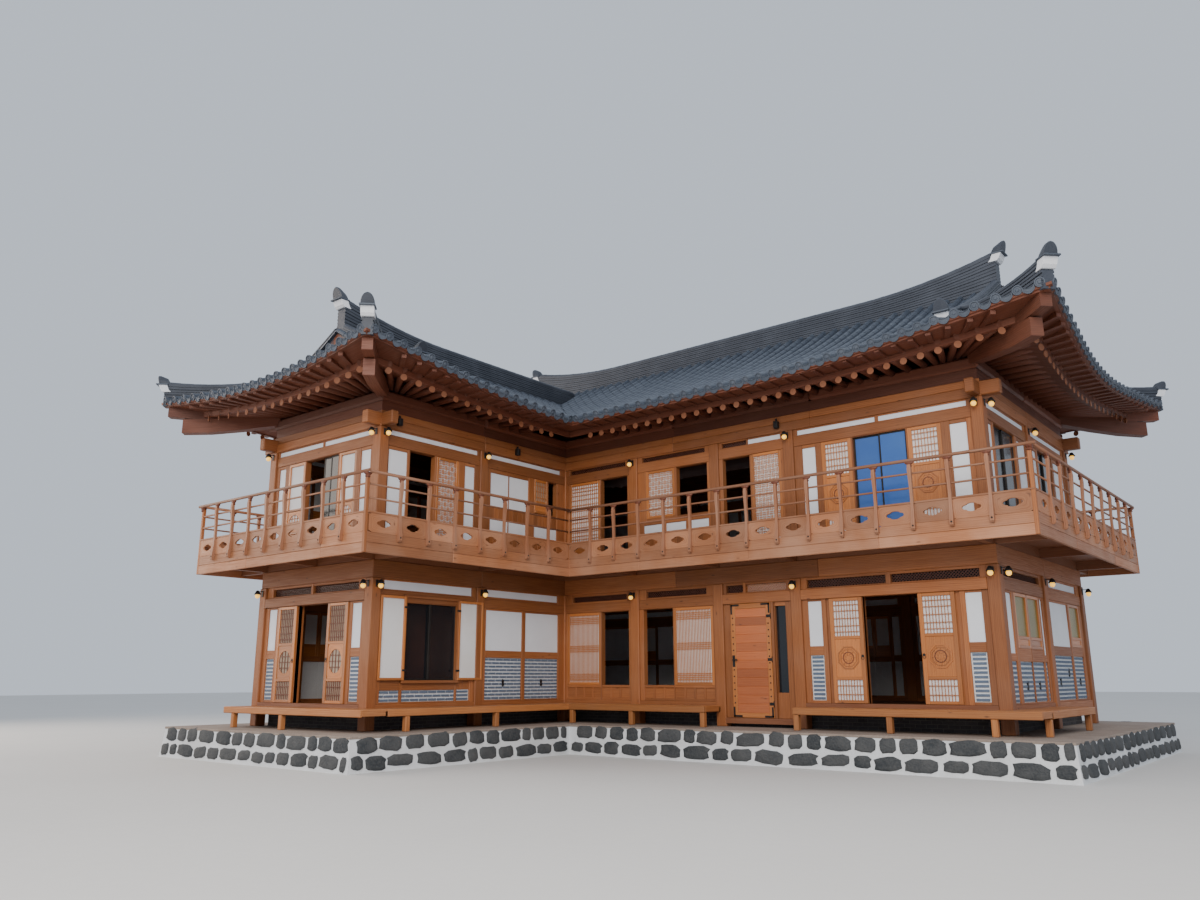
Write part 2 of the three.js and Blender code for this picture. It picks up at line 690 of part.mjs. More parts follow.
// The descending ridge of the main roof's front left verge, down to the side wing's roof.
function shortVergeRidge() {
  const x = X0 - EAVE_REACH + VERGE_RUN + HIP.inside;
  const start = VERGE_RUN + 2 * HIP.inside;
  const path = [start, 2500, 3100, MAIN_RUN - RIDGE_WIDTH / 2 - FIT].map((t) => {
    const z = EAVE_HEIGHT + rise(t);
    return [x, -EAVE_REACH + t, z - HIP.sink, z + HIP.height];
  });
  return ridgeWall(path, HIP.vergeWidth);
}

// A solid cleared of what it rests on, by the fit gap on its underside and sides.
function seated(solid, carriers) {
  const nudges = [[0, 0, FIT], [FIT, 0, 0], [-FIT, 0, 0], [0, FIT, 0], [0, -FIT, 0]];
  const cutters = carriers.flatMap((c) => nudges.map((n) => c.translate(n)));
  const pieces = cut(solid, cutters).decompose();
  return pieces.reduce((best, piece) => (piece.volume() > best.volume() ? piece : best));
}

// The entrance door: a leaf with three knuckles on its right edge.
const HINGE = {
  x: ENTRANCE.right + 6,
  depth: -4,
  radius: 9.7,
  knuckle: 120,
  flap: 80,
  shares: [0.12, 0.5, 0.88],
};

function entranceDoor() {
  const top = LINTEL_BOTTOM - RUN_GAP;
  const back = ENTRANCE.front - ENTRANCE.thick;
  const pieces = [FRONT.block(ENTRANCE.left, ENTRANCE.right, back, ENTRANCE.front, ENTRANCE.bottom, top)];
  const { x, depth, radius, knuckle, flap } = HINGE;
  for (const share of HINGE.shares) {
    const z = ENTRANCE.bottom + (top - ENTRANCE.bottom) * share;
    const pin = new THREE.CylinderGeometry(radius, radius, knuckle, 12);
    pin.rotateX(Math.PI / 2);
    pin.translate(x, -depth, z);
    pieces.push(solidOf(pin));
    pieces.push(FRONT.block(x - flap, x, ENTRANCE.front - 1, depth, z - knuckle / 2, z + knuckle / 2));
  }
  return joined(pieces);
}

function entranceSidePanel() {
  const light = { left: 75, right: 70, bottom: 1330, top: 3100 };
  const stile = 45;
  const u0 = ENTRANCE.right + 16;
  const u1 = FRONT_POSTS[2] - POST / 2 - FIT;
  const z0 = ENTRANCE.bottom - RUN_GAP + FIT;
  const z1 = LINTEL_BOTTOM - FIT;
  return joined([
    FRONT.block(u0, u1, PLATE_BACK, PLATE_FRONT, z0, z1),
    FRONT.block(u0, u0 + stile, BEAM_BACK, 0, z0, z1),
    FRONT.block(u1 - JAMB, u1, BEAM_BACK, JAMB_FRONT, z0, z1),
  ]).subtract(
    FRONT.block(u0 + light.left, u1 - JAMB - light.right, -POST, THROUGH, light.bottom, light.top),
  );
}

function frontWindowWall() {
  const post2 = FRONT_POSTS[1] + POST / 2;
  const entryJamb = FRONT.block(
    post2 - 1,
    ENTRANCE.left - RUN_GAP,
    BEAM_BACK,
    JAMB_FRONT,
    ENTRANCE.bottom - RUN_GAP + FIT,
    LINTEL_BOTTOM - FIT,
  );
  const posts = [-POST / 2, FRONT_POSTS[0], FRONT_POSTS[1]];
  return wall(FRONT, -POST, post2, posts, FRONT_WINDOWS, FRONT_LEAVES, GROUND).add(entryJamb);
}

// Windows of the ground floor, left to right on each face.
const WINDOW_TOP = LINTEL_BOTTOM - 10;
const FRONT_WINDOWS = [
  { u0: 1130, u1: 1955, z0: 1480, z1: WINDOW_TOP },
  { u0: 2390, u1: 3220, z0: 1480, z1: WINDOW_TOP },
];
const FRONT_LEAVES = [
  { u0: 90, u1: 1100, z0: 1480, z1: WINDOW_TOP },
  { u0: 3250, u1: 4255, z0: 1480, z1: WINDOW_TOP },
];
const SIDE_WINDOW_TOP = LINTEL_BOTTOM + 110;
const SIDE_WINDOWS = [{ u0: 915, u1: 2370, z0: 1600, z1: SIDE_WINDOW_TOP }];
const SIDE_LEAVES = [
  { u0: 250, u1: 905, z0: 1600, z1: SIDE_WINDOW_TOP, front: 15 },
  { u0: 2380, u1: 3110, z0: 1600, z1: SIDE_WINDOW_TOP, front: 15 },
];
const RIGHT_WINDOWS = [
  { u0: 900, u1: 2500, z0: 2150, z1: WINDOW_TOP },
  { u0: 4800, u1: 5650, z0: 2260, z1: WINDOW_TOP },
];
const RIGHT_LEAVES = [{ u0: 900, u1: 2500, z0: 2150, z1: WINDOW_TOP, shut: true }];

// Doors and windows of the upper floor.
const UPPER_SILL = UPPER.floor;
const UPPER_HEAD = UPPER_LINTEL_BOTTOM - 10;
const tall = (u0, u1) => ({ u0, u1, z0: UPPER_SILL, z1: UPPER_HEAD });
const short = (u0, u1, z0 = 5300) => ({ u0, u1, z0, z1: UPPER_HEAD });
const UPPER_WALLS = {
  upper_wing_front_wall: {
    face: WING_FRONT,
    span: [0, WING_WIDTH],
    posts: [POST / 2, WING_WIDTH - POST / 2],
    openings: [tall(1400, 2620)],
    leaves: [tall(740, 1370), tall(2650, 3260)],
  },
  upper_wing_side_wall: {
    face: WING_SIDE,
    span: [POST + FIT, WING_LENGTH - FIT],
    posts: [WING_SIDE_POST],
    openings: [tall(870, 1580), short(5310, 5630, 5600)],
    leaves: [tall(1640, 2280), short(4800, 5280, 5600)],
  },
  upper_front_wall: {
    face: FRONT,
    span: [-POST, MAIN_LENGTH],
    posts: [-POST / 2, ...FRONT_POSTS, MAIN_LENGTH - POST / 2],
    openings: [tall(1120, 1950), short(3400, 4250), tall(4670, 5370), tall(7800, 8930)],
    leaves: [tall(100, 1090), short(2500, 3370), tall(5400, 6140), tall(7100, 7770), tall(8960, 9630)],
  },
  upper_right_wall: {
    face: RIGHT,
    span: [POST + FIT, MAIN_WIDTH],
    posts: [RIGHT_SIDE_POST, MAIN_WIDTH - POST / 2],
    openings: [tall(730, 2060), tall(3700, 4800)],
    leaves: [],
  },
};

// Unseen sides: one shuttered window in each bay, as on the right side.
const PLAIN_WINDOW = { width: 900, groundSill: 2150, upperSill: 5300 };

function plainWindows(posts, storey) {
  const half = PLAIN_WINDOW.width / 2;
  const z0 = storey === GROUND ? PLAIN_WINDOW.groundSill : PLAIN_WINDOW.upperSill;
  const z1 = storey.lintel - 10;
  return posts.slice(1).map((end, i) => {
    const middle = (posts[i] + end) / 2;
    return { u0: middle - half, u1: middle + half, z0, z1 };
  });
}

const BACK_POSTS = [
  POST / 2,
  ...FRONT_POSTS.map((u) => MAIN_LENGTH - u).reverse(),
  MAIN_LENGTH,
  BACK.length - POST / 2,
];
const LEFT_POSTS = [
  POST / 2,
  MAIN_WIDTH / 2,
  MAIN_WIDTH,
  LEFT.length - WING_SIDE_POST,
  LEFT.length - POST / 2,
];

function backWall(storey) {
  const openings = plainWindows(BACK_POSTS, storey);
  const shut = openings.map((w) => ({ ...w, shut: true }));
  return wall(BACK, POST + FIT, BACK.length - POST - FIT, BACK_POSTS.slice(1, -1), openings, shut, storey);
}

function leftWall(storey) {
  const openings = plainWindows(LEFT_POSTS, storey);
  const shut = openings.map((w) => ({ ...w, shut: true }));
  return wall(LEFT, 0, LEFT.length - POST - FIT, LEFT_POSTS.slice(0, -1), openings, shut, storey);
}

// Tie beams and purlins on top of the upper storey, up to the underside of the rafters.
function upperBeams() {
  const purlinBottom = 7400;
  const purlinTop = EAVE_HEIGHT + underside(EAVE_REACH - BEAM_FRONT) - FIT;
  return joined([
    ring(BEAM_FRONT, BEAM_BACK, UPPER_RING_BOTTOM, UPPER_RING_TOP),
    ring(PLATE_FRONT, PLATE_BACK, UPPER_RING_TOP - 1, purlinBottom + 1),
    ring(BEAM_FRONT, BEAM_BACK, purlinBottom, purlinTop),
    ...[WING_FRONT, WING_SIDE, RIGHT, BACK, LEFT].map((face) => beamHead(face, POST / 2)),
    ...[WING_FRONT, FRONT, RIGHT, BACK, LEFT].map((face) => beamHead(face, face.length - POST / 2)),
  ]);
}

// The end of a tie beam that stands out past a corner post.
function beamHead(face, middle) {
  const { reach, width, bottom, top } = BEAM_HEAD;
  return face.block(middle - width / 2, middle + width / 2, PLATE_BACK, reach, bottom, top);
}

place("stone_platform", platform(), "stone");
place("underfloor_wall", ring(-280, -400, PLATFORM_TOP + FIT, SILL_BOTTOM - FIT), "darkTimber");
place("ground_floor", groundFloor(), "timber");
place(
  "deck_left",
  deck([
    { face: WING_FRONT, u0: 0, u1: WING_WIDTH + 700, reach: 650, legs: [300, 2100] },
    { face: WING_SIDE, u0: -300, u1: WING_LENGTH, reach: 700, legs: [450, 2900] },
    { face: FRONT, u0: FIT, u1: 4450, reach: 650, legs: [590, 2450, 4330] },
  ]),
  "timber",
);
place(
  "deck_right",
  deck([
    { face: FRONT, u0: 6500, u1: MAIN_LENGTH + 650, reach: 650, legs: [6510, 8400, 10270] },
    { face: RIGHT, u0: -300, u1: 3000, reach: 650, legs: [-120, 2600] },
  ]),
  "timber",
);

doorBay(
  WING_FRONT,
  {
    left: "wing_front_left_panel",
    right: "wing_front_right_panel",
    lintel: "wing_front_lintel",
    leafLeft: "wing_door_left",
    leafRight: "wing_door_right",
  },
  0,
  WING_WIDTH - POST,
);
doorBay(
  FRONT,
  {
    left: "hall_left_panel",
    right: "hall_right_panel",
    lintel: "hall_lintel",
    leafLeft: "hall_door_left",
    leafRight: "hall_door_right",
  },
  FRONT_POSTS[2] - POST / 2,
  MAIN_LENGTH - POST,
);
place("front_window_wall", frontWindowWall(), "plaster");
place("entrance_side_panel", entranceSidePanel(), "timber");
place("entrance_lintel", doorLintel(FRONT, FRONT_POSTS[1] + POST / 2, FRONT_POSTS[2] - POST / 2), "timber");
place("entrance_door", entranceDoor(), "door");
place(
  "wing_side_wall",
  wall(WING_SIDE, POST + FIT, WING_LENGTH - FIT, [WING_SIDE_POST], SIDE_WINDOWS, SIDE_LEAVES, GROUND),
  "plaster",
);
place(
  "right_side_wall",
  wall(
    RIGHT,
    POST + FIT,
    MAIN_WIDTH,
    [RIGHT_SIDE_POST, MAIN_WIDTH - POST / 2],
    RIGHT_WINDOWS,
    RIGHT_LEAVES,
    GROUND,
  ),
  "plaster",
);
place("back_wall", backWall(GROUND), "plaster");
place("left_side_wall", leftWall(GROUND), "plaster");
place("ground_beams", ring(BEAM_FRONT, BEAM_BACK, RING_BOTTOM, JOIST_BOTTOM - FIT), "timber");
place("upper_floor", upperFloor(), "darkTimber");

for (const [name, { face, span, posts, openings, leaves }] of Object.entries(UPPER_WALLS)) {
  place(name, wall(face, span[0], span[1], posts, openings, leaves, UPPER), "plaster");
}
place("upper_back_wall", backWall(UPPER), "plaster");
place("upper_left_wall", leftWall(UPPER), "plaster");
place("upper_beams", upperBeams(), "timber");

// Each side of the balcony starts behind the side before it; the two that meet in the inner corner butt.
const past = (length) => length + BALCONY_REACH;
const turned = { start: BOARD + FIT - BALCONY_REACH, wraps: { start: false, end: true } };
const RAILINGS = {
  wing_front_railing: {
    face: WING_FRONT,
    start: -BALCONY_REACH,
    end: past(WING_WIDTH),
    wraps: { start: true, end: true },
    bays: 9,
  },
  wing_side_railing: {
    ...turned,
    face: WING_SIDE,
    end: WING_LENGTH - BALCONY_REACH - FIT,
    wraps: { start: false, end: false },
    bays: 8,
  },
  front_railing: {
    face: FRONT,
    start: BALCONY_REACH - BOARD,
    railStart: BALCONY_REACH + RAIL_PROUD + FIT,
    end: past(MAIN_LENGTH),
    wraps: { start: false, end: true },
    bays: 15,
  },
  right_railing: { ...turned, face: RIGHT, end: past(MAIN_WIDTH), bays: 10 },
  back_railing: { ...turned, face: BACK, end: past(BACK.length), bays: 22 },
  left_railing: {
    ...turned,
    face: LEFT,
    end: past(LEFT.length) - BOARD - FIT,
    wraps: { start: false, end: false },
    bays: 20,
  },
};
for (const [name, side] of Object.entries(RAILINGS)) {
  place(name, railing(side), "timber");
}

const mainWhole = mainRoof();
const wingWhole = wingRoof();
const farAway = 20000;
const mainSide = mainWhole.subtract(prism(wingRegion(0), 0, farAway));
const wingSide = wingWhole.intersect(prism(wingRegion(-FIT), 0, farAway));
place("main_roof", mainSide, "tile");
place("wing_roof", wingSide, "tile");

const overVerge = 100;
const mainRidge = straightRidge({
  from: [X0 - EAVE_REACH + VERGE_RUN - overVerge, Y1 / 2],
  to: [X1 + EAVE_REACH - VERGE_RUN + overVerge, Y1 / 2],
  top: EAVE_HEIGHT + MAIN_RISE,
  curlStart: true,
  curlEnd: true,
});
const wingRidge = straightRidge({
  from: [X0 / 2, Y0 - EAVE_REACH + VERGE_RUN - overVerge],
  to: [X0 / 2, 2600],
  top: EAVE_HEIGHT + rise(WING_RUN),
  curlStart: true,
  curlEnd: false,
});
place("main_ridge", seated(mainRidge, [mainSide]), "tile");
place("wing_ridge", seated(wingRidge, [wingSide, mainSide]), "tile");

const [rightFront, rightBack, leftBack] = MAIN_CORNERS;
const [wingLeft, wingRight] = WING_CORNERS;
place("hip_ridge_right_front", seated(hipRidge(rightFront, MAIN_RUN, true), [mainSide]), "tile");
place("hip_ridge_right_back", seated(hipRidge(rightBack, MAIN_RUN, true), [mainSide]), "tile");
place("hip_ridge_left_back", seated(hipRidge(leftBack, MAIN_RUN, true), [mainSide]), "tile");
place("hip_ridge_left_front", seated(shortVergeRidge(), [mainSide, wingSide]), "tile");
place("hip_ridge_wing_left", seated(hipRidge(wingLeft, WING_RUN, false), [wingSide]), "tile");
place("hip_ridge_wing_right", seated(hipRidge(wingRight, WING_RUN, false), [wingSide]), "tile");

house.position.set((X0 + X1) / -2, (Y0 + Y1) / -2, 0);
const root = new THREE.Group();
root.add(house);
export default root;
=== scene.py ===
"""Two-storey hanok house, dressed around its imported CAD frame.

Joinery, plaster, brick, balcony, tiled roofs and the stone base are built in metres in the frame's own axes.
"""
from __future__ import annotations

import json
import logging
import math
from collections.abc import Callable, Sequence
from dataclasses import dataclass
from enum import Enum
from functools import cache

import bpy
import numpy as np
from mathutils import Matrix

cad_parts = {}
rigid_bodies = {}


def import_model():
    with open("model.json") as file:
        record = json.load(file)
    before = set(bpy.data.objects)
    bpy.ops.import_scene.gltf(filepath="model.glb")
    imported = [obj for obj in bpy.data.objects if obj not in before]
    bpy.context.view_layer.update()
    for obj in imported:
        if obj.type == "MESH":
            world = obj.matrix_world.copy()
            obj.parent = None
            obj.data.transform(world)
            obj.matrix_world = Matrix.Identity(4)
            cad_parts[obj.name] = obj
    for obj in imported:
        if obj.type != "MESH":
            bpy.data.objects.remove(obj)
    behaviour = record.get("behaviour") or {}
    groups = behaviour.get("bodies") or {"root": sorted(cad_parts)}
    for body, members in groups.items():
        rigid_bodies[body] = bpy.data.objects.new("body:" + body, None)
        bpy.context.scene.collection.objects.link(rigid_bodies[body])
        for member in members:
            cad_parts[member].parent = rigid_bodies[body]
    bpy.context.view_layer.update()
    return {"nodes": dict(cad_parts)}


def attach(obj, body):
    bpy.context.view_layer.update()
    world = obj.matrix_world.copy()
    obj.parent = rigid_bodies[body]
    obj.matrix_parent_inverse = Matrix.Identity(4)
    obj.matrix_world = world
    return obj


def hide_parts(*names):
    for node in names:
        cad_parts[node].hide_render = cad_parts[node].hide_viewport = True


for leftover in list(bpy.data.objects):
    bpy.data.objects.remove(leftover)
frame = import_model()

logging.basicConfig(level=logging.INFO, format="%(message)s")
LOG = logging.getLogger("hanok")
RNG = np.random.default_rng(41)
SHIFT = np.array([-3.185, -0.110, 0.0])
UP = np.array([0.0, 0.0, 1.0])
GRAIN_SPREAD = 40
Vec = np.ndarray
Colour = tuple[float, float, float]
Span = tuple[float, float]

# Plan and levels in metres, as the CAD has them.
WING_WIDTH, WING_LENGTH = 4.10, 5.90
MAIN_LENGTH, MAIN_WIDTH = 10.47, 6.12
BALCONY_REACH = 1.02
POST = 0.24
PLATFORM_TOP, SILL_BOTTOM, DECK_TOP, SILL_TOP = 0.63, 0.96, 1.06, 1.134
LINTEL_BOTTOM, LINTEL_TOP, RING_BOTTOM = 3.19, 3.40, 3.64
UPPER_FLOOR, UPPER_LINTEL_BOTTOM, UPPER_LINTEL_TOP = 4.36, 6.45, 6.67
UPPER_RING_BOTTOM, UPPER_RING_TOP = 6.82, 7.18


Socket = bpy.types.NodeSocket
KNOT = (0.10, 0.035, 0.015)
BOARD_TONES = (0.72, 1.22)


class Shader:
    """Short calls for adding nodes to a tree and joining them."""

    def __init__(self, tree: bpy.types.NodeTree) -> None:
        """Holds the tree that the nodes go into."""
        self.tree = tree

    def add(self, kind: str, inputs: dict | None = None, **settings: object) -> bpy.types.Node:
        """Adds a node.

        Args:
            kind: its type.
            inputs: values or sockets by input name or number.
            settings: properties of the node.

        Returns:
            The node.
        """
        node = self.tree.nodes.new(kind)
        for key, value in settings.items():
            setattr(node, key, value)
        for key, value in (inputs or {}).items():
            if isinstance(value, Socket):
                self.tree.links.new(value, node.inputs[key])
            else:
                node.inputs[key].default_value = value
        return node

    def math(self, operation: str, a: object, b: object) -> Socket:
        """Returns the result of a sum of two values or sockets."""
        return self.add("ShaderNodeMath", {0: a, 1: b}, operation=operation).outputs[0]

    def mix(self, share: object, a: object, b: object) -> Socket:
        """Returns a blend of two colours."""
        a, b = (c if isinstance(c, Socket) else (*c, 1.0) for c in (a, b))
        return self.add("ShaderNodeMix", {0: share, 6: a, 7: b}, data_type="RGBA").outputs[2]

    def span(self, value: object, low: object, high: float, to_low: float = 0, to_high: float = 1) -> Socket:
        """Returns a value mapped from one span to another and held inside it."""
        return self.add("ShaderNodeMapRange", {0: value, 1: low, 2: high, 3: to_low, 4: to_high}).outputs[0]

    def stretch(self, vector: Socket, scale: Sequence[float]) -> Socket:
        """Returns coordinates stretched along their axes."""
        return self.add("ShaderNodeMapping", {"Vector": vector, "Scale": scale}).outputs[0]

    def noise(self, vector: Socket, scale: object, detail: float = 3.0, wobble: float = 0.0) -> Socket:
        """Returns a noise value."""
        inputs = {"Vector": vector, "Scale": scale, "Detail": detail, "Distortion": wobble}
        return self.add("ShaderNodeTexNoise", inputs).outputs[0]


class Effect(Shader):
    """A shader node group that reads coordinates and floats and puts out floats."""

    def __init__(self, name: str, **floats: float) -> None:
        """Starts the group.

        Args:
            name: name of the group.
            floats: its float inputs and their default values; underscores stand for spaces.
        """
        super().__init__(bpy.data.node_groups.new(name, "ShaderNodeTree"))
        self.tree.interface.new_socket("Vector", in_out="INPUT", socket_type="NodeSocketVector")
        for label, value in floats.items():
            socket = self.tree.interface.new_socket(label.replace("_", " "), socket_type="NodeSocketFloat")
            socket.default_value = value
        self.given = self.add("NodeGroupInput").outputs

    def put(self, **results: Socket) -> bpy.types.NodeTree:
        """Joins results to the outputs of the group.

        Args:
            results: a socket for each output.

        Returns:
            The node group.
        """
        for label in results:
            self.tree.interface.new_socket(label, in_out="OUTPUT", socket_type="NodeSocketFloat")
        self.add("NodeGroupOutput", results)
        return self.tree


@cache
def wood_grain() -> bpy.types.NodeTree:
    """Builds the grain of sawn boards: streaks along them, growth rings and small dark knots.

    Returns:
        The node group.
    """
    effect = Effect("wood_grain", Ring_Width=0.05, Knot_Size=0.12)
    vector = effect.given["Vector"]
    streak = effect.noise(effect.stretch(vector, (1.5, 48, 48)), 1.0, 4.0, 0.4)
    rings = effect.add("ShaderNodeTexWave", {
        "Vector": effect.stretch(vector, (0.5, 6, 6)), "Scale": 1.6, "Distortion": 5.0, "Detail": 2.0,
        "Detail Scale": 0.8}, bands_direction="Y")
    wide = effect.math("MULTIPLY", effect.given["Ring Width"], 10.0)
    knots = effect.add("ShaderNodeTexVoronoi", {"Vector": effect.stretch(vector, (2.0, 5.5, 5.5)), "Scale": 1.0})
    return effect.put(Streak=effect.span(streak, 0.3, 0.7), Ring=effect.math("MULTIPLY", rings.outputs["Fac"], wide),
                      Knot=effect.span(knots.outputs["Distance"], effect.given["Knot Size"], 0.02))


@cache
def weathering() -> bpy.types.NodeTree:
    """Builds broad stains and fine speckle over any surface.

    Returns:
        The node group.
    """
    effect = Effect("weathering", Stain_Scale=1.4, Speckle_Scale=60.0)
    vector, stain, speckle = (effect.given[k] for k in range(3))
    return effect.put(Stain=effect.span(effect.noise(vector, stain, 4.0), 0.42, 0.68),
                      Speckle=effect.span(effect.noise(vector, speckle, 2.0), 0.35, 0.7))


class Surface(Shader):
    """Nodes of one material, ending in its Principled shader."""

    def __init__(self, name: str, **constants: float) -> None:
        """Opens the material.

        Args:
            name: its name.
            constants: values of the Principled shader's own sockets; underscores stand for spaces.
        """
        self.material = bpy.data.materials.new(name)
        self.material.use_nodes = True
        super().__init__(self.material.node_tree)
        self.principled = self.tree.nodes["Principled BSDF"].inputs
        for key, value in constants.items():
            self.principled[key.replace("_", " ")].default_value = value

    def place(self) -> Socket:
        """Returns Object coordinates."""
        return self.add("ShaderNodeTexCoord").outputs["Object"]

    def tint(self) -> Socket:
        """Returns the random value of each board, tile or stone."""
        return self.add("ShaderNodeAttribute", attribute_name="tint").outputs["Fac"]

    def worn(self, stain: float = 1.4, speckle: float = 60.0) -> bpy.types.NodeOutputs:
        """Returns the outputs of the shared weathering, at two scales."""
        inputs = {"Vector": self.place(), "Stain Scale": stain, "Speckle Scale": speckle}
        return self.add("ShaderNodeGroup", inputs, node_tree=weathering()).outputs

    def dress(self, colour: Socket, roughness: Socket, height: Socket, depth: float) -> bpy.types.Material:
        """Joins colour, roughness and a bump to the Principled shader.

        Args:
            colour: colour socket.
            roughness: roughness socket.
            height: bump height, 0 to 1.
            depth: depth of the bump in metres.

        Returns:
            The finished material.
        """
        bump = self.add("ShaderNodeBump", {"Height": height, "Strength": 0.7, "Distance": depth}).outputs[0]
        for socket, key in ((colour, "Base Color"), (roughness, "Roughness"), (bump, "Normal")):
            self.tree.links.new(socket, self.principled[key])
        return self.material


@dataclass(frozen=True)
class TimberLook:
    """Sawn and oiled pine."""

    name: str
    light: Colour
    dark: Colour
    wear: float = 0.12
    worn: Colour = (0.40, 0.25, 0.17)
    knots: float = 0.12
    roughness: float = 0.55
    coat: float = 0.0
    on_boards: bool = True

    def build(self) -> bpy.types.Material:
        """Makes the material, its grain along each board.

        Returns:
            The material.
        """
        nodes = Surface(self.name, Coat_Weight=self.coat, Coat_Roughness=0.25)
        spot = nodes.add("ShaderNodeUVMap", uv_map="grain").outputs[0] if self.on_boards else nodes.place()
        inputs = {"Vector": spot, "Knot Size": self.knots}
        grain = nodes.add("ShaderNodeGroup", inputs, node_tree=wood_grain()).outputs
        streaks, rings = nodes.math("MULTIPLY", grain["Streak"], 0.5), nodes.math("MULTIPLY", grain["Ring"], 0.55)
        colour = nodes.mix(nodes.math("ADD", streaks, rings), self.light, self.dark)
        colour = nodes.mix(nodes.math("MULTIPLY", nodes.worn(0.9, 90.0)["Stain"], self.wear), colour, self.worn)
        colour = nodes.mix(nodes.math("MULTIPLY", grain["Knot"], 0.85), colour, KNOT)
        level = nodes.span(nodes.tint(), 0, 1, *BOARD_TONES)
        colour = nodes.add("ShaderNodeVectorMath", {0: colour, 3: level}, operation="SCALE").outputs[0]
        rough = nodes.span(grain["Streak"], 0, 1, self.roughness - 0.07, self.roughness + 0.12)
        return nodes.dress(colour, rough, nodes.math("SUBTRACT", grain["Streak"], grain["Ring"]), 0.0015)


@dataclass(frozen=True)
class MineralLook:
    """Plaster, mortar, brick, stone, tile and paper: two colours by piece, stained, speckled and bumpy."""

    name: str
    first: Colour
    second: Colour
    stain: Colour
    stained: float = 0.3
    speckled: float = 0.15
    roughness: float = 0.85
    depth: float = 0.002
    stain_scale: float = 1.4
    speckle_scale: float = 60.0
    metallic: float = 0.0

    def build(self) -> bpy.types.Material:
        """Makes the material, tinted piece by piece.

        Returns:
            The material.
        """
        nodes = Surface(self.name, Metallic=self.metallic)
        weather = nodes.worn(self.stain_scale, self.speckle_scale)
        colour = nodes.mix(nodes.tint(), self.first, self.second)
        for key, share in (("Stain", self.stained), ("Speckle", self.speckled)):
            colour = nodes.mix(nodes.math("MULTIPLY", weather[key], share), colour, self.stain)
        rough = nodes.span(weather["Speckle"], 0, 1, self.roughness - 0.08, min(1.0, self.roughness + 0.08))
        return nodes.dress(colour, rough, nodes.math("ADD", weather["Speckle"], weather["Stain"]), self.depth)


@dataclass(frozen=True)
class GlowLook:
    """Lit globe of a lamp: warm, its two colours blotched together by noise."""

    name: str
    edge: Colour
    core: Colour
    strength: float

    def build(self) -> bpy.types.Material:
        """Makes the glowing material.

        Returns:
            The material.
        """
        nodes = Surface(self.name, Emission_Strength=self.strength, Roughness=0.3)
        colour = nodes.mix(nodes.noise(nodes.place(), 14.0), self.edge, self.core)
        for key in ("Base Color", "Emission Color"):
            nodes.tree.links.new(colour, nodes.principled[key])
        return nodes.material


@dataclass(frozen=True)
class CourseLook:
    """Dark bricks in courses on a plain wall, for the low wall under the floor."""

    name: str
    brick: Colour
    joint: Colour

    def build(self) -> bpy.types.Material:
        """Makes the brick material.

        Returns:
            The material.
        """
        nodes = Surface(self.name)
        parts = nodes.add("ShaderNodeSeparateXYZ", {0: nodes.place()}).outputs
        flat = nodes.add("ShaderNodeCombineXYZ", {0: nodes.math("ADD", parts[0], parts[1]), 1: parts[2]}).outputs[0]
        bricks = nodes.add("ShaderNodeTexBrick", {
            "Vector": flat, "Scale": 1.0, "Mortar Size": 0.006, "Brick Width": 0.21, "Row Height": 0.07,
            "Color1": (*self.brick, 1), "Color2": (*(c * 1.5 for c in self.brick), 1), "Mortar": (*self.joint, 1)})
        weather = nodes.worn()
        colour = nodes.mix(nodes.math("MULTIPLY", weather["Stain"], 0.35), bricks.outputs[0], self.joint)
        height = nodes.math("SUBTRACT", weather["Speckle"], bricks.outputs[1])
        return nodes.dress(colour, nodes.span(weather["Speckle"], 0, 1, 0.75, 0.95), height, 0.004)


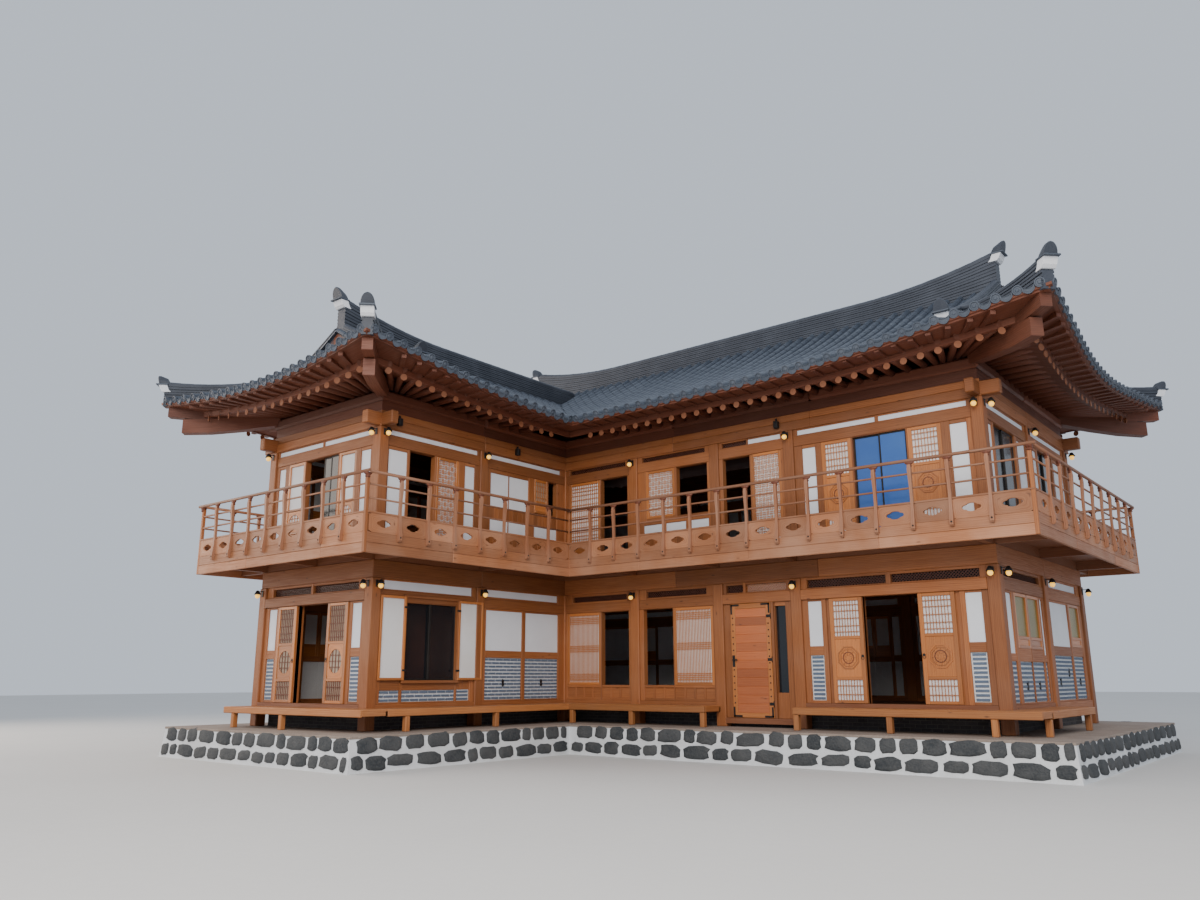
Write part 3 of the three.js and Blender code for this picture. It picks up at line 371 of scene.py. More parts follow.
class Finish(Enum):
    """Finishes of the house: each material's name and make-up."""

    TIMBER = TimberLook("warm_pine", (0.37, 0.128, 0.036), (0.185, 0.052, 0.014))
    RAIL = TimberLook("weathered_pine", (0.42, 0.170, 0.072), (0.22, 0.076, 0.030), 0.45, (0.50, 0.29, 0.19))
    BALUSTER = TimberLook("baluster_pine", (0.34, 0.145, 0.072), (0.19, 0.072, 0.034), 0.35, (0.38, 0.24, 0.17))
    DECK = TimberLook("deck_pine", (0.46, 0.180, 0.052), (0.26, 0.080, 0.022))
    # Dark red timber of rafters, eave boards and other dark members, darkened beyond the wood's own colour as painted
    # shade under the eaves.
    SOFFIT = TimberLook("red_rafter_timber", (0.170, 0.048, 0.021), (0.078, 0.020, 0.009), 0.05, knots=0.08)
    PLANKS = TimberLook("floor_planks", (0.34, 0.125, 0.050), (0.20, 0.060, 0.022), on_boards=False, knots=0.05)
    RAFTER_END = TimberLook("rafter_end_grain", (0.31, 0.112, 0.048), (0.18, 0.058, 0.024), knots=0.02)
    LEAF = TimberLook("varnished_leaf", (0.54, 0.190, 0.042), (0.31, 0.088, 0.017), knots=0.08, roughness=0.4,
                      coat=0.25)
    DOOR = TimberLook("entrance_boards", (0.50, 0.140, 0.038), (0.36, 0.085, 0.022), roughness=0.38, coat=0.3)
    PLASTER = MineralLook("white_plaster", (0.76, 0.79, 0.84), (0.80, 0.82, 0.86), (0.60, 0.62, 0.66), 0.25, 0.06,
                          0.8, 0.0012)
    PAPER = MineralLook("window_paper", (0.72, 0.72, 0.74), (0.78, 0.78, 0.78), (0.58, 0.53, 0.46), 0.25, 0.12,
                        0.75, 0.0005, speckle_scale=140.0)
    DIM_PAPER = MineralLook("shaded_paper", (0.34, 0.26, 0.19), (0.42, 0.33, 0.25), (0.22, 0.15, 0.10), 0.3, 0.15,
                            0.7, 0.0005, speckle_scale=140.0)
    BRICK = MineralLook("blue_brick", (0.055, 0.082, 0.135), (0.105, 0.145, 0.215), (0.20, 0.25, 0.32), 0.2, 0.25,
                        0.75, 0.003)
    MORTAR = MineralLook("white_mortar", (0.72, 0.74, 0.76), (0.76, 0.78, 0.80), (0.46, 0.46, 0.45), 0.35, 0.18,
                         0.9, 0.006, speckle_scale=45.0)
    STONE = MineralLook("field_stone", (0.018, 0.024, 0.030), (0.052, 0.056, 0.060), (0.12, 0.12, 0.118), 0.35,
                        0.4, 0.88, 0.012, 4.0, 30.0)
    PAVING = MineralLook("paving_stone", (0.27, 0.21, 0.175), (0.33, 0.265, 0.22), (0.19, 0.15, 0.125), 0.5, 0.4,
                         0.9, 0.006, speckle_scale=25.0)
    DARK_BRICK = CourseLook("underfloor_brick", (0.045, 0.040, 0.042), (0.12, 0.11, 0.10))
    TILE = MineralLook("roof_tile", (0.026, 0.036, 0.055), (0.062, 0.080, 0.112), (0.12, 0.145, 0.185), 0.3, 0.25,
                       0.48, stain_scale=2.2)
    # Darker copy of the roof tile: painted shade on the ridges' upright faces.
    RIDGE = MineralLook("ridge_tile", (0.022, 0.028, 0.041), (0.034, 0.042, 0.060), (0.09, 0.105, 0.135), 0.3,
                        0.25, 0.55, stain_scale=2.2)
    RIM = MineralLook("tile_rim", (0.036, 0.048, 0.070), (0.066, 0.083, 0.112), (0.13, 0.15, 0.185), 0.3, 0.3,
                      0.6)
    GLASS = MineralLook("dark_glass", (0.005, 0.007, 0.010), (0.010, 0.012, 0.016), (0.03, 0.032, 0.035), 0.15,
                        0.05, 0.12, 0.0002)
    # Glass whose blue is a painted reflection of the sky, not a colour of the glass.
    SKY_GLASS = MineralLook("blue_glass", (0.035, 0.105, 0.36), (0.045, 0.13, 0.42), (0.10, 0.22, 0.50), 0.4,
                            0.05, 0.12, 0.0002, 0.6)
    GOLD = MineralLook("olive_screen", (0.22, 0.17, 0.035), (0.27, 0.21, 0.05), (0.12, 0.10, 0.03), 0.4, 0.2,
                       0.35, 0.0005)
    IRON = MineralLook("black_iron", (0.016, 0.016, 0.018), (0.028, 0.027, 0.027), (0.06, 0.05, 0.045), 0.3, 0.3,
                       0.5, 0.0005, metallic=0.6)
    GLOW = GlowLook("lamp_glow", (1.0, 0.46, 0.05), (1.0, 0.62, 0.10), 1.4)
    FLOOR = MineralLook("studio_floor", (0.66, 0.65, 0.63), (0.66, 0.65, 0.63), (0.60, 0.59, 0.57), 0.3, 0.1, 0.9,
                        0.001, 0.25, 6.0)


@cache
def material(finish: Finish) -> bpy.types.Material:
    """Returns the material of a finish, built on first use."""
    return finish.value.build()


class Slot(Enum):
    """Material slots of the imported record."""

    STONE = "stone"
    TIMBER = "timber"
    DARK = "dark_timber"
    PLASTER = "plaster"
    TILE = "tile"
    DOOR = "door"


def unit(vector: Vec) -> Vec:
    """Returns the vector at length one."""
    return vector / np.linalg.norm(vector)


def circle(count: int, start: float = 0.0) -> Vec:
    """Returns evenly spaced points of a unit circle, from an angle on."""
    angles = np.linspace(0, 2 * math.pi, count, endpoint=False) + start
    return np.stack([np.cos(angles), np.sin(angles)], 1)


def parts(span: Span, count: int) -> list[Span]:
    """Returns a span cut into equal parts."""
    marks = np.linspace(*span, count + 1)
    return list(zip(marks, marks[1:]))


@dataclass(frozen=True)
class Side:
    """A face of the house: u runs right as seen from outside, d runs outwards, z up."""

    x: float
    y: float
    ux: float
    uy: float
    length: float

    def at(self, u: float, d: float, z: float) -> Vec:
        """Returns a point of the face in the frame's axes."""
        return np.array([self.x + self.ux * u + self.uy * d, self.y + self.uy * u - self.ux * d, z]) + SHIFT

    @property
    def along(self) -> Vec:
        """Returns the direction of u."""
        return np.array([self.ux, self.uy, 0.0])

    @property
    def out(self) -> Vec:
        """Returns the direction of d."""
        return np.array([self.uy, -self.ux, 0.0])

    @property
    def axes(self) -> Vec:
        """Returns right-handed axes of a board on the face: along, inwards, up."""
        return np.array([self.along, -self.out, UP])


WING_FRONT = Side(-WING_WIDTH, -WING_LENGTH, 1, 0, WING_WIDTH)
WING_SIDE = Side(0, -WING_LENGTH, 0, 1, WING_LENGTH)
FRONT = Side(0, 0, 1, 0, MAIN_LENGTH)
RIGHT = Side(MAIN_LENGTH, 0, 0, 1, MAIN_WIDTH)
BACK = Side(MAIN_LENGTH, MAIN_WIDTH, -1, 0, MAIN_LENGTH + WING_WIDTH)
LEFT = Side(-WING_WIDTH, MAIN_WIDTH, 0, -1, MAIN_WIDTH + WING_LENGTH)
FACES = (WING_FRONT, WING_SIDE, FRONT, RIGHT, BACK, LEFT)


class BoardShape:
    """Corner signs, chamfer masks and faces of a board, chamfered or plain."""

    weights = (4, 2, 1)

    def __init__(self, chamfered: bool) -> None:
        """Lays out the corners and turns every face outwards.

        Args:
            chamfered: whether the board has bevelled edges.
        """
        signs = np.array([(x, y, z) for x in (-1, 1) for y in (-1, 1) for z in (-1, 1)], float)
        self.signs = np.repeat(signs, 3, 0) if chamfered else signs
        self.masks = np.tile(1 - np.eye(3), (8, 1)) if chamfered else np.zeros((8, 3))
        faces, normals = [], []
        for axis in range(3):
            b, c = (axis + 1) % 3, (axis + 2) % 3
            wa, wb, wc = (self.weights[a] for a in (axis, b, c))
            for sign in (0, 1):
                ring = [sign * wa + p * wb + q * wc for p, q in ((0, 0), (1, 0), (1, 1), (0, 1))]
                faces.append([3 * i + axis for i in ring] if chamfered else ring)
                normals.append(axis)
                for other in (0, 1) if chamfered else ():
                    low, high = (3 * (e * wa + sign * wb + other * wc) for e in (0, 1))
                    faces.append([low + b, high + b, high + c, low + c])
                    normals.append(b)
        if chamfered:
            faces += [[3 * i, 3 * i + 1, 3 * i + 2] for i in range(8)]
            normals += [2] * 8
        sample = self.signs * (1 - 0.2 * self.masks)
        for face in faces:
            a, b, c = sample[face[:3]]
            if np.dot(np.cross(b - a, c - a), sample[face].mean(0)) < 0:
                face.reverse()
        self.loops = np.array([v for face in faces for v in face])
        self.counts = np.array([len(face) for face in faces])
        self.normals = np.repeat(normals, self.counts)


CHAMFERED, PLAIN = BoardShape(True), BoardShape(False)


def swept(polygons: Vec) -> float:
    """Returns six times the volume between the origin and polygons, given as rows of corners."""
    fans = np.cross(polygons[:, 1:-1], polygons[:, 2:])
    return float(np.einsum("ni,nki->", polygons[:, 0], fans))


def placed(name: str, data: bpy.types.ID | None) -> bpy.types.Object:
    """Adds an object to the scene.

    Args:
        name: its name.
        data: its mesh, light or camera.

    Returns:
        The object.
    """
    made = bpy.data.objects.new(name, data)
    bpy.context.scene.collection.objects.link(made)
    return made


class Piece:
    """One mesh object of the house, built in a way of its own and settled on a body of the CAD."""

    def build(self) -> bpy.types.Object:
        """Makes the mesh object."""
        raise NotImplementedError

    def deliver(self, slot: Slot, *nodes: str, body: str = "house") -> None:
        """Builds the piece, fixes it to its body, hides the CAD nodes that it replaces and logs its face count.

        Args:
            slot: record slot of the piece; not used.
            nodes: CAD nodes that it replaces.
            body: CAD body that carries it.
        """
        made = self.build()
        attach(made, body)
        if nodes:
            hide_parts(*nodes)
        LOG.info("%s: %d faces", made.name, len(made.data.polygons))


class Joinery(Piece):
    """Collects boards and lofts of one piece, and makes them one mesh object."""

    def __init__(self, name: str) -> None:
        """Starts an empty piece.

        Args:
            name: name of its object.
        """
        self.name = name
        self.boards: dict[tuple[bool, int], list] = {}
        self.verts: list[Vec] = []
        self.kept: list[list[Vec]] = [[] for _ in range(6)]
        self.base = 0
        self.finishes: dict[Finish, int] = {}

    def _index(self, finish: Finish) -> int:
        """Returns the material index of a finish."""
        return self.finishes.setdefault(finish, len(self.finishes))

    def block(self, centre: Vec, axes: Vec, half: Sequence[float], finish: Finish, chamfer: float = 0.006) -> None:
        """Adds one board.

        Args:
            centre: middle of the board.
            axes: three right-handed unit rows.
            half: half sizes along the axes.
            finish: its finish.
            chamfer: width of the bevel, 0 for a plain bar.
        """
        half = np.abs(np.array(half, float))
        chamfer = min(chamfer, 0.4 * half.min())
        row = (centre, axes, half, chamfer, self._index(finish), RNG.random(), RNG.random(2) * GRAIN_SPREAD)
        self.boards.setdefault((chamfer > 0, int(np.argmax(half))), []).append(row)

    def board(self, side: Side, u: Span, d: Span, z: Span, finish: Finish = Finish.TIMBER,
              chamfer: float = 0.006) -> None:
        """Adds a board by its extents along, out of and up a face of the house."""
        spans = np.array([u, d, z], float)
        self.block(side.at(*spans.mean(1)), side.axes, (spans[:, 1] - spans[:, 0]) / 2, finish, chamfer)

    def loft(self, rings: Sequence, finish: Finish, closed: bool = False, smooth: bool = False) -> None:
        """Adds a closed body through rings of points.

        Args:
            rings: rings of equally many points, each a closed outline.
            finish: its finish.
            closed: whether the last ring joins the first, as round a frame.
            smooth: whether the sides are shaded round.
        """
        rings = np.asarray(rings, float)
        m, k, _ = rings.shape
        i, j = (a.ravel() for a in np.meshgrid(np.arange(m if closed else m - 1), np.arange(k), indexing="ij"))
        ni, nj = (i + 1) % m, (j + 1) % k
        quads = np.stack([i * k + j, ni * k + j, ni * k + nj, i * k + nj], 1)
        points = rings.reshape(-1, 3)
        steps = np.linalg.norm(np.diff(rings.mean(1), axis=0, prepend=rings[:1].mean(1)), axis=1).cumsum()
        if steps[-1] < 1e-6:
            steps = np.arange(m) * 0.05
        girth = np.append(0.0, np.linalg.norm(np.roll(rings[0], -1, 0) - rings[0], axis=1).cumsum())
        offset = RNG.random(2) * GRAIN_SPREAD
        run = np.where(ni < i, steps[i] + 0.1, steps[ni])
        corners = ((steps[i], girth[j]), (run, girth[j]), (run, girth[j + 1]), (steps[i], girth[j + 1]))
        faces, uvs = [quads], [np.stack([np.stack(pair, 1) for pair in corners], 1) + offset]
        for ring, turn in () if closed else ((0, 1), (m - 1, -1)):
            cap = np.arange(k)[::turn] + ring * k
            spot = points[cap] - points[cap].mean(0)
            faces.append(cap[None])
            uvs.append(np.stack([spot[:, 0] + spot[:, 1], spot[:, 2]], 1)[None] + offset)
        self._add(points, faces, uvs, finish, sum(swept(points[group]) for group in faces) < 0, smooth)

    def slab(self, top: Vec, bottom: Vec, above: Finish, below: Finish) -> None:
        """Adds a closed slab between two grids of points.

        Args:
            top: array of shape (columns, rows, 3).
            bottom: the matching lower grid.
            above: finish of its top.
            below: finish of its underside and edges.
        """
        m, n, _ = top.shape
        points = np.concatenate([top.reshape(-1, 3), bottom.reshape(-1, 3)])
        numbers = np.arange(m * n).reshape(m, n)
        upper = np.stack([numbers[:-1, :-1], numbers[1:, :-1], numbers[1:, 1:], numbers[:-1, 1:]], -1).reshape(-1, 4)
        lower = upper[:, ::-1] + m * n
        loop = np.concatenate([numbers[:, 0], numbers[-1, 1:], numbers[-2::-1, -1], numbers[0, -2:0:-1]])
        follow = np.roll(loop, -1)
        edge = np.stack([follow, loop, loop + m * n, follow + m * n], 1)
        a, b, c = points[upper[0, :3]]
        flip = bool(np.cross(b - a, c - a)[2] < 0)
        for quads, finish in ((upper, above), (np.concatenate([lower, edge]), below)):
            self._add(points[:0], [quads], [points[quads][..., :2]], finish, flip, False)
        self.verts.append(points)
        self.base += len(points)

    def _add(self, points: Vec, faces: list[Vec], uvs: list[Vec], finish: Finish, flip: bool, smooth: bool) -> None:
        """Stores a body's points and faces.

        Args:
            points: its vertices.
            faces: groups of faces with equally many corners, its sides first.
            uvs: grain coordinates of every corner, group by group.
            finish: its finish.
            flip: whether the faces are turned round.
            smooth: whether its sides are shaded round.
        """
        tint, turn = RNG.random(), -1 if flip else 1
        for k, (group, uv) in enumerate(zip(faces, uvs)):
            n, corners = group.shape
            self._keep(group[:, ::turn].ravel() + self.base, np.full(n, corners), uv[:, ::turn].reshape(-1, 2),
                       np.full(n, tint), np.full(n, self._index(finish)), np.full(n, smooth and k == 0))
        self.verts.append(points)
        self.base += len(points)

    def _keep(self, *arrays: Vec) -> None:
        """Keeps corner numbers, corner counts, grain coordinates, tints, finishes and smooth marks."""
        for kept, array in zip(self.kept, arrays):
            kept.append(array)

    def _expand(self) -> None:
        """Turns the collected boards into vertices and faces."""
        for (chamfered, longest), rows in self.boards.items():
            shape = CHAMFERED if chamfered else PLAIN
            centre, axes, half, chamfer, finish, tint, offset = (np.array(c) for c in zip(*rows))
            local = shape.signs[None] * (half[:, None] - chamfer[:, None, None] * shape.masks[None])
            n, v, count = len(rows), len(shape.signs), len(shape.counts)
            first, second = (a for a in range(3) if a != longest)
            lead = np.where(shape.normals == longest, first, longest)
            cross = np.where((shape.normals == longest) | (shape.normals == first), second, first)
            corner, spots = local[:, shape.loops], np.arange(len(shape.loops))
            uv = np.stack([corner[:, spots, lead], corner[:, spots, cross]], 2) + offset[:, None]
            self.verts.append((np.einsum("nvi,nij->nvj", local, axes) + centre[:, None]).reshape(-1, 3))
            self._keep((shape.loops[None] + v * np.arange(n)[:, None] + self.base).ravel(), np.tile(shape.counts, n),
                       uv.reshape(-1, 2), np.repeat(tint, count), np.repeat(finish, count), np.zeros(n * count, bool))
            self.base += n * v

    def build(self) -> bpy.types.Object:
        """Makes the mesh object.

        Returns:
            The object, linked to the scene, with its materials.
        """
        self._expand()
        verts = np.concatenate(self.verts)
        loops, counts, uvs, tints, finishes, smooth = (np.concatenate(part) for part in self.kept)
        mesh = bpy.data.meshes.new(self.name)
        mesh.vertices.add(len(verts))
        mesh.loops.add(len(loops))
        mesh.polygons.add(len(counts))
        mesh.vertices.foreach_set("co", verts.astype(np.float32).ravel())
        mesh.loops.foreach_set("vertex_index", loops.astype(np.int32))
        mesh.polygons.foreach_set("loop_start", np.append(0, counts.cumsum()[:-1]).astype(np.int32))
        mesh.polygons.foreach_set("material_index", finishes.astype(np.int32))
        mesh.polygons.foreach_set("use_smooth", smooth)
        mesh.uv_layers.new(name="grain").data.foreach_set("uv", uvs.astype(np.float32).ravel())
        mesh.attributes.new("tint", "FLOAT", "FACE").data.foreach_set("value", tints.astype(np.float32))
        mesh.update(calc_edges=True)
        for finish in self.finishes:
            mesh.materials.append(material(finish))
        return placed(self.name, mesh)


@cache
def scatter_tree() -> bpy.types.NodeTree:
    """Builds the Geometry Nodes tree that sets a shape on every point, turned, sized and tinted.

    Returns:
        The node group.
    """
    tree = bpy.data.node_groups.new("scatter_shape", "GeometryNodeTree")
    for label, kind in (("Geometry", "Geometry"), ("Shape", "Object"), ("Finish", "Material"), ("Seed", "Int")):
        tree.interface.new_socket(label, in_out="INPUT", socket_type="NodeSocket" + kind)
    tree.interface.new_socket("Geometry", in_out="OUTPUT", socket_type="NodeSocketGeometry")
    nodes = Shader(tree)
    given = nodes.add("NodeGroupInput").outputs
    along, up, size = (
        nodes.add("GeometryNodeInputNamedAttribute", {"Name": key}, data_type="FLOAT_VECTOR").outputs[0]
        for key in ("along", "up", "size"))
    turn = nodes.add("FunctionNodeAxesToRotation", {0: up, 1: along}, primary_axis="Z",
                     secondary_axis="X").outputs[0]
    shape = nodes.add("GeometryNodeObjectInfo", {"Object": given["Shape"]}).outputs["Geometry"]
    copies = nodes.add("GeometryNodeInstanceOnPoints", {"Points": given["Geometry"], "Instance": shape,
                                                        "Rotation": turn, "Scale": size}).outputs[0]
    chance = nodes.add("FunctionNodeRandomValue", {"Seed": given["Seed"]}, data_type="FLOAT").outputs[1]
    stored = nodes.add("GeometryNodeStoreNamedAttribute", {"Geometry": copies, "Name": "tint", "Value": chance},
                       data_type="FLOAT", domain="INSTANCE").outputs[0]
    real = nodes.add("GeometryNodeRealizeInstances", {0: stored}).outputs[0]
    dressed = nodes.add("GeometryNodeSetMaterial", {"Geometry": real, "Material": given["Finish"]}).outputs[0]
    nodes.add("NodeGroupOutput", {0: dressed})
    return tree


class Scatter(Piece):
    """Points that each carry one copy of a shape, made a plain mesh by Geometry Nodes."""

    def __init__(self, name: str, finish: Finish, shape: Callable[[Joinery], None]) -> None:
        """Starts an empty scatter of a shape one unit long along X, wide along Y and high along Z."""
        self.name, self.finish, self.shape = name, finish, shape
        self.rows: list[tuple[Vec, Vec, Vec, Sequence[float]]] = []

    def set(self, place: Vec, along: Vec, up: Vec, size: Sequence[float]) -> None:
        """Adds a copy by its middle, the directions of its X and Z, and its length, width and height."""
        self.rows.append((place, unit(along), unit(up), size))

    def rod(self, start: Vec, end: Vec, up: Vec, width: float) -> None:
        """Adds a copy stretched between two points."""
        self.set((start + end) / 2, end - start, up, (np.linalg.norm(end - start), width, width))

    def build(self) -> bpy.types.Object:
        """Runs the tree and keeps its plain mesh.

        Returns:
            The object, linked to the scene.
        """
        mould = Joinery(self.name + "_shape")
        self.shape(mould)
        shape = mould.build()
        places, alongs, ups, sizes = (np.array(part, np.float32) for part in zip(*self.rows))
        mesh = bpy.data.meshes.new(self.name + "_points")
        mesh.vertices.add(len(places))
        mesh.vertices.foreach_set("co", places.ravel())
        for key, values in (("along", alongs), ("up", ups), ("size", sizes)):
            mesh.attributes.new(key, "FLOAT_VECTOR", "POINT").data.foreach_set("vector", values.ravel())
        points = placed(self.name + "_points", mesh)
        modifier = points.modifiers.new("scatter", "NODES")
        modifier.node_group = scatter_tree()
        values = {"Shape": shape, "Finish": material(self.finish), "Seed": len(self.rows)}
        for item in modifier.node_group.interface.items_tree:
            if item.name in values:
                modifier[item.identifier] = values[item.name]
        depsgraph = bpy.context.evaluated_depsgraph_get()
        depsgraph.update()
        plain = bpy.data.meshes.new_from_object(points.evaluated_get(depsgraph), preserve_all_data_layers=True,
                                                depsgraph=depsgraph)
        plain.name = self.name
        for helper in (points, shape):
            bpy.data.objects.remove(helper)
        return placed(self.name, plain)


def bar_shape(mould: Joinery) -> None:
    """Draws a plain square bar."""
    mould.block(np.zeros(3), np.eye(3), (0.5, 0.5, 0.5), Finish.TIMBER, 0)


def turned(radii: Sequence[Span], count: int, axis: int = 2) -> Vec:
    """Returns rings of a round form along X (axis 0) or Z (axis 2), given by places and radii."""
    rings = np.array([np.column_stack([circle(count) * radius, np.full(count, place)]) for place, radius in radii])
    return rings if axis else np.roll(rings, 1, 2)


def round_shape(mould: Joinery) -> None:
    """Draws a round pole of twelve sides."""
    mould.loft(turned(((-0.5, 0.5), (0.5, 0.5)), 12, 0), Finish.TIMBER, smooth=True)


EAVE_REACH, EAVE_HEIGHT, ROOF_HEIGHT = 1.5, 7.58, 2.43
MAIN_RUN, WING_RUN = EAVE_REACH + MAIN_WIDTH / 2, EAVE_REACH + WING_WIDTH / 2
VERGE_RUN, GABLE_RUN = 1.72, 2.02
RAFTER_START, FAN_REACH = 0.5, 2.4
MAIN_VALLEY, WING_VALLEY = 7.1, 5.9
EAST, WEST, NORTH, SOUTH = 11.97, -5.6, 7.62, -7.4
MAIN_EAVE, END_EAVE, WING_EAVE, SKIRT_EAVE = 17.57, 9.12, 9.45, 7.10
CORNER_LIFT, CORNER_PUSH, CORNER_FADE = 0.45, 0.35, 6.0


def rise(t: Vec | float) -> Vec | float:
    """Returns the height of the tiled surface above the eave at a distance inwards from it."""
    share = np.asarray(t, float) / MAIN_RUN
    return ROOF_HEIGHT * (0.75 * share + 0.25 * share * share)


@dataclass(frozen=True)
class EaveCorner:
    """A corner where two eaves meet: it lifts the roof and pushes the eaves outwards."""

    x: float
    y: float
    sx: int
    sy: int

    def move(self, x: Vec, y: Vec) -> Vec:
        """Works out how far points of the roof are moved.

        Args:
            x: their places in the house's plan.
            y: the same.

        Returns:
            Rows of x, y and z.
        """
        tx, ty = np.maximum(0, (self.x - x) * self.sx), np.maximum(0, (self.y - y) * self.sy)
        near, far = np.minimum(tx, ty), np.maximum(tx, ty)
        fade = 1 - 0.6 * np.minimum(1, near / EAVE_REACH)
        lift = CORNER_LIFT * fade * np.maximum(0, 1 - far / CORNER_FADE) ** 1.7
        push_x, push_y = (CORNER_PUSH * np.maximum(0, 1 - b / CORNER_FADE) ** 2 * np.maximum(0, 1 - a / VERGE_RUN)
                          for a, b in ((tx, ty), (ty, tx)))
        return np.stack([push_x * self.sx, push_y * self.sy, lift], -1)


MAIN_CORNERS = (EaveCorner(EAST, -EAVE_REACH, 1, -1), EaveCorner(EAST, NORTH, 1, 1), EaveCorner(WEST, NORTH, -1, 1))
WING_CORNERS = (EaveCorner(WEST, SOUTH, -1, -1), EaveCorner(EAVE_REACH, SOUTH, 1, -1))
Edge = Callable[[float], float]


@dataclass(frozen=True)
class Slope:
    """One slope of a roof: s runs along its eave, t inwards from it.

    Its eave boards run over extent; ends says whether each of their ends is a hip (1), a wall (0) or a valley (-1).
    """

    name: str
    origin: Span
    along: tuple[int, int]
    length: float
    run: float
    extent: Span
    ends: tuple[int, int]
    patches: tuple[tuple[float, Edge, Edge], ...]

    def at(self, s: Vec | float, t: Vec | float, z: Vec | float) -> Vec:
        """Bends points of the slope at its corners.

        Args:
            s: places along its eave.
            t: distances inwards from it.
            z: heights above the eave's level.

        Returns:
            Points in the frame's axes.
        """
        s, t, z = np.broadcast_arrays(*(np.asarray(value, float) for value in (s, t, z)))
        ax, ay = self.along
        x, y = self.origin[0] + ax * s - ay * t, self.origin[1] + ay * s + ax * t
        corners = MAIN_CORNERS if self.name.startswith("main") else WING_CORNERS
        return np.stack([x, y, EAVE_HEIGHT + z], -1) + sum(corner.move(x, y) for corner in corners) + SHIFT

    def top(self, s: Vec | float, t: Vec | float, lift: float = 0.0) -> Vec:
        """Returns points of the tiled surface."""
        return self.at(s, t, rise(t) + lift)

    def frame_at(self, s: float, t: float) -> tuple[Vec, Vec]:
        """Returns the downhill direction and the normal of the tiled surface."""
        down = unit(self.top(s, t - 0.05) - self.top(s, t + 0.05))
        return down, unit(np.cross(down, self.top(s + 0.05, t) - self.top(s - 0.05, t)))

    def span(self, s: float) -> Span | None:
        """Finds where a line up the slope starts and ends.

        Args:
            s: its place along the eave.

        Returns:
            Its distances from the eave, or nothing if it misses the slope.
        """
        kept = [t for t in np.linspace(0, self.run, 229)
                if any(t >= low and start(t) <= s <= end(t) for low, start, end in self.patches)]
        return (kept[0], kept[-1]) if len(kept) > 2 else None

    def past_valley(self, s: float) -> float:
        """Returns how far a place along the eave lies beyond the valley between the roofs."""
        return {"main_front": MAIN_VALLEY - s, "wing_east": s - WING_VALLEY}.get(self.name, -1.0)


def near_hip(t: float) -> float:
    """Returns where a slope starts beside a hip at its low end."""
    return min(t, VERGE_RUN)


def far_hip(length: float) -> Edge:
    """Returns the end of a slope beside a hip at its high end."""
    return lambda t: length - near_hip(t)


SLOPES = (
    Slope("main_front", (WEST, -EAVE_REACH), (1, 0), MAIN_EAVE, MAIN_RUN, (MAIN_VALLEY, MAIN_EAVE), (-1, 1),
          ((0, lambda t: max(MAIN_VALLEY - t, WING_RUN), far_hip(MAIN_EAVE)),
           (1.76, lambda t: VERGE_RUN, lambda t: min(t, WING_RUN)))),
    Slope("main_back", (EAST, NORTH), (-1, 0), MAIN_EAVE, MAIN_RUN, (0, MAIN_EAVE), (1, 1),
          ((0, near_hip, far_hip(MAIN_EAVE)),)),
    Slope("main_right", (EAST, -EAVE_REACH), (0, 1), END_EAVE, GABLE_RUN, (0, END_EAVE), (1, 1),
          ((0, near_hip, far_hip(END_EAVE)),)),
    Slope("main_left", (WEST, NORTH), (0, -1), END_EAVE, GABLE_RUN, (0, 7.4), (1, 0),
          ((0, near_hip, lambda t: 7.4),)),
    Slope("wing_west", (WEST, 2.05), (0, -1), WING_EAVE, WING_RUN, (1.83, WING_EAVE), (0, 1),
          ((0, lambda t: 1.83 if t <= VERGE_RUN else WING_RUN - t, far_hip(WING_EAVE)),)),
    Slope("wing_east", (EAVE_REACH, SOUTH), (0, 1), WING_EAVE, WING_RUN, (0, WING_VALLEY), (1, -1),
          ((0, near_hip, lambda t: WING_VALLEY + t),)),
    Slope("wing_skirt", (WEST, SOUTH), (1, 0), SKIRT_EAVE, GABLE_RUN, (0, SKIRT_EAVE), (1, 1),
          ((0, near_hip, far_hip(SKIRT_EAVE)),)),
)
BED_ROWS = (0, 0.06, 0.52, 0.56, 1.0, 1.5, 1.62, 2.02, 2.5, 3.0, 3.55, 4.0, MAIN_RUN)
BED_UNDER = ((0, 0.06, 0.52, 0.56, 1.5, 1.62, 2.5, MAIN_RUN), (-0.07, -0.09, -0.085, -0.20, 0.20, 0.25, 0.70, 2.12))


def cover_shape(mould: Joinery) -> None:
    """Draws a half-round cover tile, a little wider at its lower end."""
    arch = [(math.cos(a) / 2, math.sin(a)) for a in np.linspace(0, math.pi, 7)]
    mould.loft([[(x, y * r, z * r) for y, z in arch] for x, r in ((-0.5, 0.95), (0.5, 1.0))], Finish.TILE)


def pan_shape(mould: Joinery) -> None:
    """Draws a hollow pan tile."""
    hollow = ((-0.5, -0.5), (0.5, -0.5), (0.5, 0.5), (0.2, 0.0), (-0.2, 0.0), (-0.5, 0.5))
    mould.loft([[(x, y, z) for y, z in hollow] for x in (-0.5, 0.5)], Finish.TILE)


def disc_shape(mould: Joinery) -> None:
    """Draws the round end of a cover tile row: a raised rim round a domed face with a boss."""
    profile = ((-0.5, 0.46), (0.35, 0.5), (0.5, 0.47), (0.5, 0.39), (0.2, 0.36), (0.25, 0.2), (0.5, 0.12))
    mould.loft(turned(profile, 12, 0), Finish.RIM)


def tongue_shape(mould: Joinery) -> None:
    """Draws the drip tongue under a pan tile: a crescent plate with a raised lower rim.

    Args:
        mould: collects the shape.
    """
    ys = np.linspace(-0.5, 0.5, 7)
    outline = [(y, 0.28 + 0.9 * y * y) for y in ys] + [(y, -0.5 + 1.8 * y * y) for y in ys[::-1]]
    ring = np.array([(0.0, y, z) for y, z in outline])
    inner = ring.mean(0) + (ring - ring.mean(0)) * 0.8
    mould.loft([ring - [0.5, 0, 0], ring + [0.5, 0, 0], inner + [0.5, 0, 0], inner + [0.1, 0, 0]], Finish.RIM)


